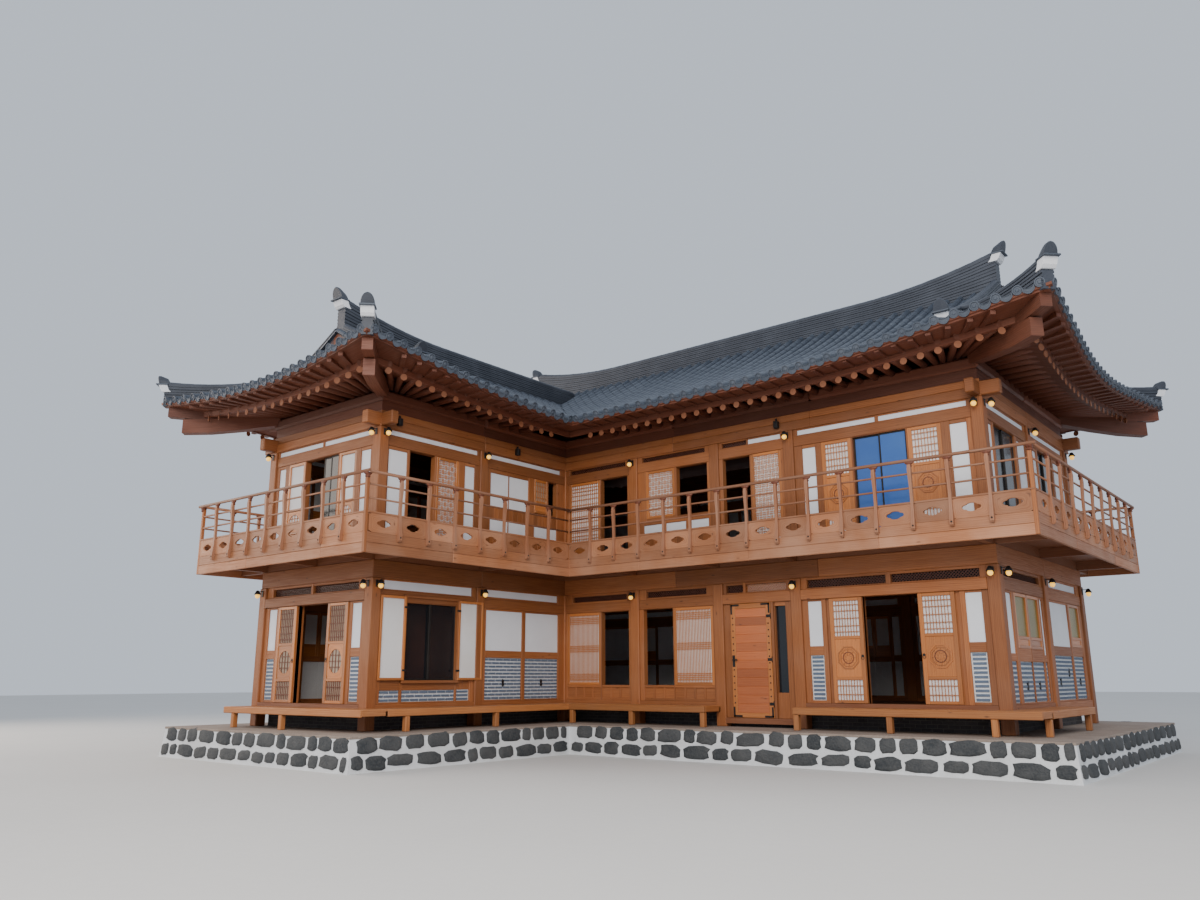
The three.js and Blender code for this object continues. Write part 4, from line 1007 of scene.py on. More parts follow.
@dataclass
class Roofs:
    """Both roofs: beds, tiles, eaves, rafters and gables."""

    spacing: float = 0.31
    pitch: float = 0.27
    cover_width: float = 0.165
    rafter_spacing: float = 0.34
    rafter_width: float = 0.14
    plank: float = 0.16

    def bed(self, piece: Joinery, slope: Slope) -> None:
        """Lays the slab under the tiles, tile above and red boards below, darkened as painted eave shade, and its two
        eave boards.

        Args:
            piece: collects the mesh.
            slope: the slope that it covers.
        """
        for low, start, end in slope.patches:
            rows = np.array([low, *(t for t in BED_ROWS if low < t < slope.run), slope.run])
            shares = np.linspace(0, 1, 31)
            s = np.array([start(t) + (end(t) - start(t)) * shares for t in rows]).T
            t = np.tile(rows, (len(shares), 1))
            piece.slab(slope.top(s, t, -0.02), slope.at(s, t, np.interp(t, *BED_UNDER)), Finish.TILE, Finish.SOFFIT)
        for near, far, top, bottom in ((0.03, 0.1, -0.03, -0.11), (0.5, 0.56, -0.10, -0.22)):
            s = np.linspace(slope.extent[0] + near * slope.ends[0], slope.extent[1] - near * slope.ends[1], 37)
            edges = ((near, bottom), (near, top), (far, top), (far, bottom))
            piece.loft(np.stack([slope.at(s, t, z) for t, z in edges], 1), Finish.SOFFIT)

    def tiles(self, slopes: Sequence[Slope], name: str) -> None:
        """Lays cover and pan tiles, and the ends of their rows at the eave.

        Args:
            slopes: slopes of one roof.
            name: name of the roof.
        """
        covers = Scatter(name + "_cover_tiles", Finish.TILE, cover_shape)
        pans = Scatter(name + "_pan_tiles", Finish.TILE, pan_shape)
        discs = Scatter(name + "_eave_discs", Finish.RIM, disc_shape)
        tongues = Scatter(name + "_drip_tongues", Finish.RIM, tongue_shape)
        for slope in slopes:
            count = round(slope.length / self.spacing)
            for k in range(1, 2 * count):
                row, ends = (covers, discs) if k % 2 else (pans, tongues)
                self.row(slope, k * slope.length / count / 2, row, ends)
        for scatter in (covers, pans, discs, tongues):
            scatter.deliver(Slot.TILE)

    def row(self, slope: Slope, s: float, row: Scatter, ends: Scatter) -> None:
        """Lays one row of tiles up a slope, with its end piece at the eave.

        Args:
            slope: the slope.
            s: place along its eave.
            row: collects the tiles.
            ends: collects the end piece.
        """
        reach = slope.span(s)
        if reach is None:
            return
        cover = row.shape is cover_shape
        size, lift = ((self.cover_width, 0.095), 0.008) if cover else ((self.spacing - 0.1, 0.05), 0.0)
        for low in np.arange(reach[0], reach[1] - 0.03, self.pitch):
            high = min(low + self.pitch + 0.03, reach[1])
            down, up = slope.frame_at(s, (low + high) / 2)
            row.set(slope.top(s, (low + high) / 2, lift), down, up, (high - low, *size))
        if reach[0] == 0:
            down, up = slope.frame_at(s, 0.06)
            level = unit(down * [1, 1, 0.35])
            lift, size = (0.03, (0.05, 0.18, 0.18)) if cover else (-0.035, (0.035, 0.2, 0.13))
            ends.set(slope.top(s, 0, lift) + level * 0.011, level, up, size)

    def rafters(self, slope: Slope, poles: Scatter, ends: Scatter, flying: Scatter) -> None:
        """Sets round rafters and square flying rafters under a slope, fanned at its corners.

        Args:
            slope: the slope.
            poles: collects the round rafters.
            ends: collects their pale sawn ends.
            flying: collects the flying rafters.
        """
        hips = [place for place, kind in zip(slope.extent, slope.ends) if kind > 0]
        for a, b in parts(slope.extent, round((slope.extent[1] - slope.extent[0]) / self.rafter_spacing)):
            s = (a + b) / 2
            corner = min(hips, key=lambda place: abs(s - place))
            away = abs(s - corner)
            if away < RAFTER_START + 0.12:
                continue
            inner = corner + math.copysign(1.5 + 0.375 * away, s - corner) if away < FAN_REACH else s
            start = max(RAFTER_START, slope.past_valley(s))
            if start < 1.45:
                foot, root = slope.at(s, start, -0.28 + (start - RAFTER_START) * 0.41), slope.at(inner, 1.64, 0.19)
                poles.rod(foot, root, UP, self.rafter_width)
                step = unit(foot - root)
                ends.set(foot + step * 0.006, step, UP, (0.016, self.rafter_width * 0.98, self.rafter_width * 0.98))
            tip = slope.at(s, max(0.07, slope.past_valley(s)), -0.135)
            flying.rod(tip, slope.at(s + (inner - s) * 0.45, 0.72, -0.02), UP, 0.095)

    def gable(self, piece: Joinery, x: float, y: float, out: Vec, run: float) -> None:
        """Boards up the triangle at a roof's end and hangs its two verge boards.

        Args:
            piece: collects the mesh.
            x: middle of its foot line in the house's plan.
            y: the same.
            out: direction that it faces.
            run: distance from the eave to the ridge.
        """
        half = run - GABLE_RUN
        foot = EAVE_HEIGHT + rise(GABLE_RUN) - 0.15
        base = np.array([x, y, 0]) + SHIFT
        along = np.array([-out[1], out[0], 0])
        for a, b in parts((-half, half), round(2 * half / self.plank)):
            middle = (a + b) / 2
            head = EAVE_HEIGHT + rise(run - abs(middle)) - 0.16
            if head - foot > 0.1:
                centre = base + along * middle + out * 0.03 + UP * (foot + head) / 2
                size = ((b - a) / 2 - 0.002, 0.025, (head - foot) / 2)
                piece.block(centre, np.array([along, -out, UP]), size, Finish.SOFFIT, 0.004)
        for turn in (-1, 1):
            rings = []
            for t in np.linspace(GABLE_RUN - 0.25, run + 0.02, 9):
                spot = base + along * turn * max(run - t, 0.0) + UP * (EAVE_HEIGHT + rise(t) - 0.03)
                rings.append([spot + out * d - UP * z for d, z in ((0.2, 0), (0.26, 0), (0.26, 0.34), (0.2, 0.34))])
            piece.loft(rings, Finish.SOFFIT)

    def build(self) -> None:
        """Makes both roofs."""
        gables = {"main": ((EAST - GABLE_RUN, MAIN_WIDTH / 2, (1, 0, 0), MAIN_RUN),
                           (WEST + GABLE_RUN, MAIN_WIDTH / 2, (-1, 0, 0), MAIN_RUN)),
                  "wing": ((-WING_WIDTH / 2, SOUTH + GABLE_RUN, (0, -1, 0), WING_RUN),)}
        for name, ends in gables.items():
            slopes = [slope for slope in SLOPES if slope.name.startswith(name)]
            bed = Joinery(name + "_roof_bed")
            for slope in slopes:
                self.bed(bed, slope)
            for x, y, out, run in ends:
                self.gable(bed, x, y, np.array(out, float), run)
            bed.deliver(Slot.TILE, name + "_roof")
            self.tiles(slopes, name)
        poles = Scatter("round_rafters", Finish.SOFFIT, round_shape)
        ends = Scatter("rafter_ends", Finish.RAFTER_END, round_shape)
        flying = Scatter("flying_rafters", Finish.SOFFIT, bar_shape)
        for slope in SLOPES:
            self.rafters(slope, poles, ends, flying)
        for scatter in (poles, ends, flying):
            scatter.deliver(Slot.DARK)


class Fill(Enum):
    """What closes one panel of a wall."""

    PLASTER = "plaster"
    BRICK = "brick"
    SPOTTED = "brick with ornaments"
    OPEN = "open"
    GLASS = "dark glass"
    # Glass with a painted blue reflection of the sky.
    BLUE = "blue glass"
    HALF_GLASS = "glass in its right half"
    DADO = "upright dado boards"
    TRANSOM = "dark diamond lattice"
    LIGHT_TRANSOM = "lattice over paper"


class LeafPanel(Enum):
    """What fills one panel of a door or window leaf."""

    GRID = "square lattice"
    BARS = "upright bars with crossing groups"
    FRET = "fret lattice"
    PAPER = "plain paper"
    CARVED = "carved octagon"
    MEDALLION = "round lattice"
    BOARD = "plain board"
    GOLD = "olive screen"


@dataclass(frozen=True)
class LeafStyle:
    """Make-up of a leaf, from the bottom up: each panel's share of the height and its kind."""

    panels: tuple[tuple[float, LeafPanel], ...]
    stile: float = 0.065
    rail: float = 0.06
    paper: Finish = Finish.PAPER
    lattice: Finish = Finish.LEAF


HALL_LEAF = LeafStyle(((0.20, LeafPanel.GRID), (0.38, LeafPanel.CARVED), (0.36, LeafPanel.GRID)), 0.085)
WING_LEAF = LeafStyle(((0.20, LeafPanel.GRID), (0.36, LeafPanel.MEDALLION), (0.38, LeafPanel.GRID)), 0.09,
                      paper=Finish.DIM_PAPER, lattice=Finish.SOFFIT)
BAR_LEAF = LeafStyle(((1.0, LeafPanel.BARS),))
FRET_LEAF = LeafStyle(((1.0, LeafPanel.FRET),))
SHUTTER = LeafStyle(((1.0, LeafPanel.PAPER),), 0.05, 0.05)
TALL_LEAF = LeafStyle(((0.14, LeafPanel.BOARD), (0.24, LeafPanel.MEDALLION), (0.52, LeafPanel.PAPER)))
GRID_LEAF = LeafStyle(((0.18, LeafPanel.BOARD), (0.74, LeafPanel.GRID)))
GOLD_LEAF = LeafStyle(((0.12, LeafPanel.BOARD), (0.82, LeafPanel.GOLD)), 0.07)
SMALL_LEAF = LeafStyle(((0.25, LeafPanel.BOARD), (0.65, LeafPanel.GRID)), 0.05, paper=Finish.DIM_PAPER)


class Leaf:
    """A door or window leaf on a face of the house."""

    def __init__(self, side: Side, piece: Joinery, bars: Scatter, style: LeafStyle) -> None:
        """Holds the leaf's face, where its boards and lattice bars go, and its make-up."""
        self.side, self.piece, self.bars, self.style = side, piece, bars, style

    def bar(self, a: Span, b: Span, d: float, width: float = 0.012) -> None:
        """Sets a lattice bar between two points (u, z) of the leaf."""
        self.bars.rod(self.side.at(a[0], d, a[1]), self.side.at(b[0], d, b[1]), self.side.out, width)

    def build(self, u: Span, d: Span, z: Span) -> None:
        """Builds the leaf.

        Args:
            u: extent along the face.
            d: extent outwards.
            z: extent upwards.
        """
        style, board = self.style, self.piece.board
        for edge in ((u[0], u[0] + style.stile), (u[1] - style.stile, u[1])):
            board(self.side, edge, d, z, Finish.LEAF)
        inner = (u[0] + style.stile, u[1] - style.stile)
        gaps = len(style.panels) + 1
        whole = sum(share for share, _ in style.panels)
        rail = max(style.rail, (z[1] - z[0]) * (1 - whole) / gaps)
        room = z[1] - z[0] - rail * gaps
        low = z[0]
        board(self.side, inner, d, (low, low + rail), Finish.LEAF)
        for share, kind in style.panels:
            low += rail
            high = low + room * share / whole
            self.panel(kind, inner, d, (low, high))
            board(self.side, inner, d, (high, high + rail), Finish.LEAF)
            low = high

    def panel(self, kind: LeafPanel, u: Span, d: Span, z: Span) -> None:
        """Fills one panel of the leaf.

        Args:
            kind: what fills it.
            u: extent along the face.
            d: the leaf's extent outwards.
            z: extent upwards.
        """
        front, tall = d[1] - 0.012, z[1] - z[0]
        if kind in (LeafPanel.BOARD, LeafPanel.CARVED):
            self.piece.board(self.side, u, (d[0] + 0.008, d[1] - 0.014), z, Finish.LEAF, 0)
        else:
            sheet = Finish.GOLD if kind is LeafPanel.GOLD else self.style.paper
            self.piece.board(self.side, u, (d[0] + 0.006, d[0] + 0.014), z, sheet, 0)
        if kind is LeafPanel.GRID:
            self.grid(u, z, front, max(3, round((u[1] - u[0]) / 0.062)), max(3, round(tall / 0.115)))
        elif kind is LeafPanel.BARS:
            self.grid(u, z, front, round((u[1] - u[0]) / 0.04), 0)
            for centre in (0.08, 0.5, 0.92):
                for step in (-0.065, -0.022, 0.022, 0.065):
                    level = z[0] + tall * centre + step
                    self.bar((u[0], level), (u[1], level), front + 0.003)
        elif kind is LeafPanel.FRET:
            self.fret(u, z, front)
        elif kind is LeafPanel.CARVED:
            self.octagon(u, z, front)
        elif kind is LeafPanel.MEDALLION:
            self.medallion(u, z, d)

    def grid(self, u: Span, z: Span, d: float, across: int, up: int) -> None:
        """Sets upright bars and level bars that crowd towards the ends.

        Args:
            u: extent along the face.
            z: extent upwards.
            d: how far out the bars stand.
            across: spaces between upright bars.
            up: spaces between level bars, 0 for none.
        """
        for spot in np.linspace(*u, across + 1)[1:-1]:
            self.bar((spot, z[0]), (spot, z[1]), d)
        for i in range(1, up):
            share = i / up - 0.35 * math.sin(2 * math.pi * i / up) / (2 * math.pi)
            level = z[0] + (z[1] - z[0]) * share
            self.bar((u[0], level), (u[1], level), d + 0.004)

    def fret(self, u: Span, z: Span, d: float) -> None:
        """Sets a fret of staggered squares joined by short bars.

        Args:
            u: extent along the face.
            z: extent upwards.
            d: how far out the bars stand.
        """
        for i, (a, b) in enumerate(parts(u, max(4, round((u[1] - u[0]) / 0.085)))):
            for j, (low, high) in enumerate(parts(z, max(6, round((z[1] - z[0]) / 0.1)))):
                for k in (0.3, 0.7):
                    spot, level = a + (b - a) * k, low + (high - low) * k
                    ends = ((a, level), (b, level)) if (i + j) % 2 else ((spot, low), (spot, high))
                    self.bar(*ends, d, 0.013)

    def ring(self, centre: Span, radius: float, width: float, d: Span, sides: int, finish: Finish) -> None:
        """Adds a flat ring of boards.

        Args:
            centre: its middle (u, z).
            radius: its outer radius.
            width: width of the band.
            d: extent outwards.
            sides: number of its sides; a ring of eight has one on top.
            finish: its finish.
        """
        rings = []
        for c, s in circle(sides, math.pi / 8 if sides == 8 else 0):
            spots = ((radius, d[0]), (radius, d[1]), (radius - width, d[1]), (radius - width, d[0]))
            rings.append([self.side.at(centre[0] + c * r, depth, centre[1] + s * r) for r, depth in spots])
        self.piece.loft(rings, finish, closed=True)

    def octagon(self, u: Span, z: Span, d: float) -> None:
        """Carves an octagon with a woven round inside it.

        Args:
            u: extent of the panel along the face.
            z: extent of the panel upwards.
            d: front of the panel's board.
        """
        centre = ((u[0] + u[1]) / 2, (z[0] + z[1]) / 2)
        radius = 0.44 * min(u[1] - u[0], z[1] - z[0])
        for share, width in ((1.0, 0.022), (0.78, 0.014)):
            self.ring(centre, radius * share, width, (d - 0.004, d + 0.012), 8, Finish.LEAF)
        self.ring(centre, radius * 0.5, 0.014, (d - 0.004, d + 0.010), 16, Finish.SOFFIT)
        for far, near in zip(circle(8) * radius * 0.74 + centre, circle(8, 0.7) * radius * 0.2 + centre):
            self.bar(near, far, d + 0.003)

    def medallion(self, u: Span, z: Span, d: Span) -> None:
        """Cuts a round lattice into a solid panel.

        Args:
            u: extent of the panel along the face.
            z: extent of the panel upwards.
            d: the leaf's extent outwards.
        """
        half = ((u[1] - u[0]) / 2, (z[1] - z[0]) / 2)
        reach = (half[0] * 0.82, min(half[1] * 0.7, half[0] * 1.15))
        centre = (u[0] + half[0], z[0] + half[1])
        pierced(self.piece, self.side, centre, half, reach, (d[0] + 0.016, d[1] - 0.012), Finish.LEAF)
        for k in (-0.5, 0.0, 0.5):
            h, w = (size * math.sqrt(1 - k * k) for size in (reach[1], reach[0]))
            x, y = centre[0] + k * reach[0], centre[1] + k * reach[1]
            self.bar((x, centre[1] - h), (x, centre[1] + h), d[0] + 0.022)
            self.bar((centre[0] - w, y), (centre[0] + w, y), d[0] + 0.026)

    def pull(self, u: float, z: float, d: float) -> None:
        """Fits an iron rose and ring pull at a place of the leaf's front."""
        self.ring((u, z), 0.028, 0.026, (d - 0.002, d + 0.006), 8, Finish.IRON)
        self.ring((u, z - 0.035), 0.034, 0.008, (d + 0.001, d + 0.009), 12, Finish.IRON)


def pierced(piece: Joinery, side: Side, centre: Span, half: Span, reach: Span, d: Span, finish: Finish,
            lobes: float = 0.0) -> None:
    """Adds a board with an oval or four-lobed opening cut through it.

    Args:
        piece: collects the mesh.
        side: the face.
        centre: middle of the board (u, z).
        half: half sizes of the board.
        reach: half sizes of the opening.
        d: extent outwards.
        finish: its finish.
        lobes: how much the opening draws in between its lobes.
    """
    rings = []
    for c, s in circle(32):
        grow = min(half[0] / max(abs(c), 1e-6), half[1] / max(abs(s), 1e-6))
        lobe = 1 - lobes * (1 - abs(c * c - s * s) ** 0.7)
        spots = ((grow, grow, d[0]), (grow, grow, d[1]), (reach[0] * lobe, reach[1] * lobe, d[1]),
                 (reach[0] * lobe, reach[1] * lobe, d[0]))
        rings.append([side.at(centre[0] + c * w, depth, centre[1] + s * h) for w, h, depth in spots])
    piece.loft(rings, finish, closed=True)


@dataclass
class Storey:
    """Levels of one storey's wall members."""

    base: float
    sill: float
    floor: float
    lintel: float
    lintel_top: float
    top: float


GROUND = Storey(PLATFORM_TOP, SILL_BOTTOM, SILL_TOP, LINTEL_BOTTOM, LINTEL_TOP, RING_BOTTOM)
UPPER = Storey(UPPER_FLOOR, UPPER_FLOOR, UPPER_FLOOR + 0.11, UPPER_LINTEL_BOTTOM, UPPER_LINTEL_TOP, UPPER_RING_BOTTOM)
BACK_OF_WALL, RECESS, FACE = -0.17, -0.078, -0.05
Cell = tuple[float, float, Fill | LeafStyle]
Column = tuple[float, float, Sequence[Cell]]


def brick_shape(mould: Joinery) -> None:
    """Draws a thin brick with worn edges."""
    mould.block(np.zeros(3), np.eye(3), (0.5, 0.5, 0.5), Finish.BRICK, 0.02)


BRICKS = Scatter("wall_bricks", Finish.BRICK, brick_shape)
BARS = Scatter("window_bars", Finish.LEAF, bar_shape)
DARK_BARS = Scatter("transom_bars", Finish.SOFFIT, bar_shape)


class Wall:
    """A timber-framed wall on one face, filled panel by panel."""

    def __init__(self, name: str, side: Side, storey: Storey) -> None:
        """Starts the piece of a wall on a face, with the levels of its storey."""
        self.side, self.storey, self.piece = side, storey, Joinery(name)

    def board(self, u: Span, d: Span, z: Span, finish: Finish = Finish.TIMBER, chamfer: float = 0.006) -> None:
        """Adds a board by its extents on the wall's face."""
        self.piece.board(self.side, u, d, z, finish, chamfer)

    def post(self, middle: float) -> None:
        """Stands a square post."""
        u = (middle - POST / 2, middle + POST / 2)
        self.board(u, (-POST, 0), (self.storey.base, self.storey.top), chamfer=0.014)

    def members(self, u: Span) -> None:
        """Lays sill and lintel between two posts."""
        self.board(u, (-0.22, -0.02), (self.storey.sill, self.storey.floor))
        self.board(u, (-0.22, FACE + 0.012), (self.storey.lintel, self.storey.lintel_top))

    def bay(self, u: Span, z: Span, columns: Sequence[Column]) -> None:
        """Fills a bay: stiles between the columns, rails between the panels of a column.

        Args:
            u: extent of the bay.
            z: extent upwards.
            columns: start, end and panels (start, end, fill) of each column.
        """
        edge = u[0]
        for start, end, cells in [*columns, (u[1], u[1], [])]:
            if start - edge > 0.004:
                self.timber((edge, start), z, True)
            level = z[0]
            for low, high, fill in [*cells, (z[1], z[1], None)]:
                if low - level > 0.004 and end > start:
                    self.timber((start, end), (level, low), False)
                if fill is not None:
                    self.fill(fill, (start, end), (low, high))
                level = high
            edge = end

    def band(self, u: Span, strips: Sequence[Cell], z: Span) -> None:
        """Fills the band above a bay's lintel with panels (start, end, fill) of one height."""
        self.bay(u, (self.storey.lintel_top, self.storey.top), [(a, b, ((*z, fill),)) for a, b, fill in strips])

    def timber(self, u: Span, z: Span, upright: bool) -> None:
        """Fills a gap with one member, or with boards where it is wide both ways.

        Args:
            u: extent along the face.
            z: extent upwards.
            upright: whether it is a stile.
        """
        if min(u[1] - u[0], z[1] - z[0]) < 0.3:
            self.board(u, (-0.2, FACE if upright else FACE - 0.006), z)
            return
        for ends in parts(u, max(1, round((u[1] - u[0]) / 0.16))):
            self.board(ends, (BACK_OF_WALL, RECESS), z, chamfer=0.004)

    def fill(self, fill: Fill | LeafStyle, u: Span, z: Span) -> None:
        """Closes one panel.

        Args:
            fill: what closes it.
            u: extent along the face.
            z: extent upwards.
        """
        if isinstance(fill, LeafStyle):
            Leaf(self.side, self.piece, BARS, fill).build(u, (-0.1, -0.052), z)
        elif fill is Fill.PLASTER:
            self.board(u, (BACK_OF_WALL, RECESS), z, Finish.PLASTER, 0)
        elif fill in (Fill.BRICK, Fill.SPOTTED):
            self.brickwork(u, z, fill is Fill.SPOTTED)
        # The blue glass carries a painted reflection of the sky.
        elif fill in (Fill.GLASS, Fill.BLUE):
            self.glass(u, z, Finish.GLASS if fill is Fill.GLASS else Finish.SKY_GLASS)
        elif fill is Fill.HALF_GLASS:
            self.glass(((u[0] + u[1]) / 2, u[1]), z, Finish.GLASS)
        elif fill is Fill.DADO:
            self.board(u, (BACK_OF_WALL, RECESS), z, chamfer=0)
            for _, spot in parts(u, round((u[1] - u[0]) / 0.27))[:-1]:
                self.board((spot - 0.025, spot + 0.025), (RECESS, FACE - 0.008), z)
        elif fill in (Fill.TRANSOM, Fill.LIGHT_TRANSOM):
            light = fill is Fill.LIGHT_TRANSOM
            self.board(u, (BACK_OF_WALL, BACK_OF_WALL + 0.02), z, Finish.PAPER if light else Finish.GLASS, 0)
            self.diamonds(u, z, BARS if light else DARK_BARS)

    def glass(self, u: Span, z: Span, finish: Finish) -> None:
        """Glazes an opening with two sashes in slim dark frames.

        Args:
            u: extent along the face.
            z: extent upwards.
            finish: the glass.
        """
        middle = (u[0] + u[1]) / 2
        for start, end, depth in ((u[0], middle + 0.02, -0.14), (middle - 0.02, u[1], -0.11)):
            self.board((start + 0.03, end - 0.03), (depth, depth + 0.008), (z[0] + 0.03, z[1] - 0.03), finish, 0)
            for edge in ((start, start + 0.035), (end - 0.035, end)):
                self.board(edge, (depth - 0.012, depth + 0.016), z, Finish.IRON, 0.003)
            for edge in ((z[0], z[0] + 0.035), (z[1] - 0.035, z[1])):
                self.board((start, end), (depth - 0.01, depth + 0.014), edge, Finish.IRON, 0.003)

    def brickwork(self, u: Span, z: Span, spotted: bool) -> None:
        """Lays thin dark bricks in wide white mortar.

        Args:
            u: extent along the face.
            z: extent upwards.
            spotted: whether small dark ornaments are set into it.
        """
        self.board(u, (BACK_OF_WALL, RECESS - 0.008), z, Finish.MORTAR, 0)
        wide = u[1] - u[0]
        count = max(2, round(wide / 0.25))
        for j, (low, high) in enumerate(parts(z, max(2, round((z[1] - z[0]) / 0.079)))):
            starts = (np.arange(count + 1) - 0.5 * (j % 2)) * wide / count + u[0]
            runs = [(max(a + 0.012, u[0] + 0.016), min(a + wide / count - 0.012, u[1] - 0.016)) for a in starts]
            for a, b in runs if wide > 0.45 else [(u[0] + 0.03, u[1] - 0.03)]:
                if b - a > 0.04:
                    place = self.side.at((a + b) / 2, RECESS - 0.004, (low + high) / 2)
                    BRICKS.set(place, self.side.along, UP, (b - a, 0.024, (high - low) * 0.56))
        if spotted:
            for share, level in zip((0.24, 0.76) if wide > 1.2 else (0.5,), (0.4, 0.62)):
                self.ornament(u[0] + wide * share, z[0] + (z[1] - z[0]) * level)

    def ornament(self, u: float, z: float) -> None:
        """Sets a small dark lozenge tile into brickwork.

        Args:
            u: its middle along the face.
            z: its middle upwards.
        """
        outline = ((0, -85), (36, -50), (24, 0), (36, 50), (0, 85), (-36, 50), (-24, 0), (-36, -50))
        self.piece.loft([[self.side.at(u + a / 1000, d, z + b / 1000) for a, b in outline]
                         for d in (RECESS - 0.006, RECESS + 0.016)], Finish.IRON)

    def diamonds(self, u: Span, z: Span, bars: Scatter) -> None:
        """Crosses thin slanting bars over a panel.

        Args:
            u: extent along the face.
            z: extent upwards.
            bars: collects the bars.
        """
        wide, tall = u[1] - u[0], z[1] - z[0]
        for _, reach in parts((0, wide + tall), round((wide + tall) / 0.062))[:-1]:
            a = (max(0.0, reach - tall), z[0] + min(reach, tall))
            b = (min(reach, wide), z[0] + max(0.0, reach - wide))
            if b[0] - a[0] > 0.02:
                for edge, turn, d in ((u[0], 1, -0.122), (u[1], -1, -0.112)):
                    ends = (self.side.at(edge + turn * spot, d, level) for spot, level in (a, b))
                    bars.rod(*ends, self.side.out, 0.012)


P, B, S, O, T = Fill.PLASTER, Fill.BRICK, Fill.SPOTTED, Fill.OPEN, Fill.TRANSOM
BACK_POSTS = (0.12, 4.12, 6.01, 8.31, 10.47, 14.45)
LEFT_POSTS = (0.12, 3.06, 6.12, 8.98, 11.90)
LOW, HIGH = SILL_TOP, LINTEL_BOTTOM
DADO, OPENING, WINDOW = (1.19, 1.42, Fill.DADO), (1.48, 3.18, O), (1.48, 3.18, BAR_LEAF)
NARROW = ((1.19, 2.07, B), (2.25, 3.15, P))
SHORT = ((1.17, 1.91, B), (2.05, 3.15, P))
SPOTTED = ((1.17, 2.09, S), (2.25, 3.15, P))
GILT = ((1.17, 1.91, S), (2.15, 3.18, GOLD_LEAF))
PANEL, APRON = ((4.62, 6.38, P),), ((4.82, 5.15, P),)
FOOT = (4.86, 5.26, P)


def tall(fill: Fill | LeafStyle) -> Sequence[Cell]:
    """Returns a column's one panel from the upper sill to the upper lintel."""
    return ((UPPER.floor, 6.44, fill),)


@dataclass(frozen=True)
class Bay:
    """One bay of a wall: its columns between sill and lintel, and the strip above the lintel."""

    u: Span
    columns: Sequence[Column]
    strips: Sequence[Cell]
    strip_z: Span = (UPPER_LINTEL_TOP + 0.02, UPPER_RING_BOTTOM - 0.025)
    split: float = 0.0
    lower: Sequence[Column] = ()


def plain_bay(u: Span, lower: Span, upper: Span, leaf: Span, fill: Fill, strip_z: Span) -> Bay:
    """Returns a bay of the unseen sides: a leaf pair over a low panel, between plaster panels.

    Args:
        u: extent of the bay.
        lower: extent of the low panels upwards.
        upper: extent of the plaster panels upwards.
        leaf: extent of the leaves upwards.
        fill: what closes the low panels.
        strip_z: extent of the band above the lintel.

    Returns:
        The bay.
    """
    middle, cells = (u[0] + u[1]) / 2, ((*lower, fill), (*upper, P))
    pair = ((*lower, fill), (*leaf, GRID_LEAF))
    columns = [(u[0] + 0.1, middle - 0.53, cells), (middle - 0.45, middle, pair),
               (middle + 0.004, middle + 0.45, pair), (middle + 0.53, u[1] - 0.1, cells)]
    return Bay(u, columns, [(u[0] + 0.1, u[1] - 0.1, P)], strip_z)


def hidden_walls(storey: Storey, names: Span, *measures: Span | Fill) -> list[tuple]:
    """Returns the plans of a storey's back and left walls.

    Args:
        storey: the storey.
        names: CAD nodes of the two walls.
        measures: what a plain bay needs besides its extent.

    Returns:
        Node, face, storey, posts and bays of each wall.
    """
    walls = ((names[0], BACK, BACK_POSTS, 1), (names[1], LEFT, LEFT_POSTS, 0))
    return [(name, side, storey, posts[first:-1],
             [plain_bay((a + POST / 2, b - POST / 2), *measures) for a, b in zip(posts, posts[1:])])
            for name, side, posts, first in walls]


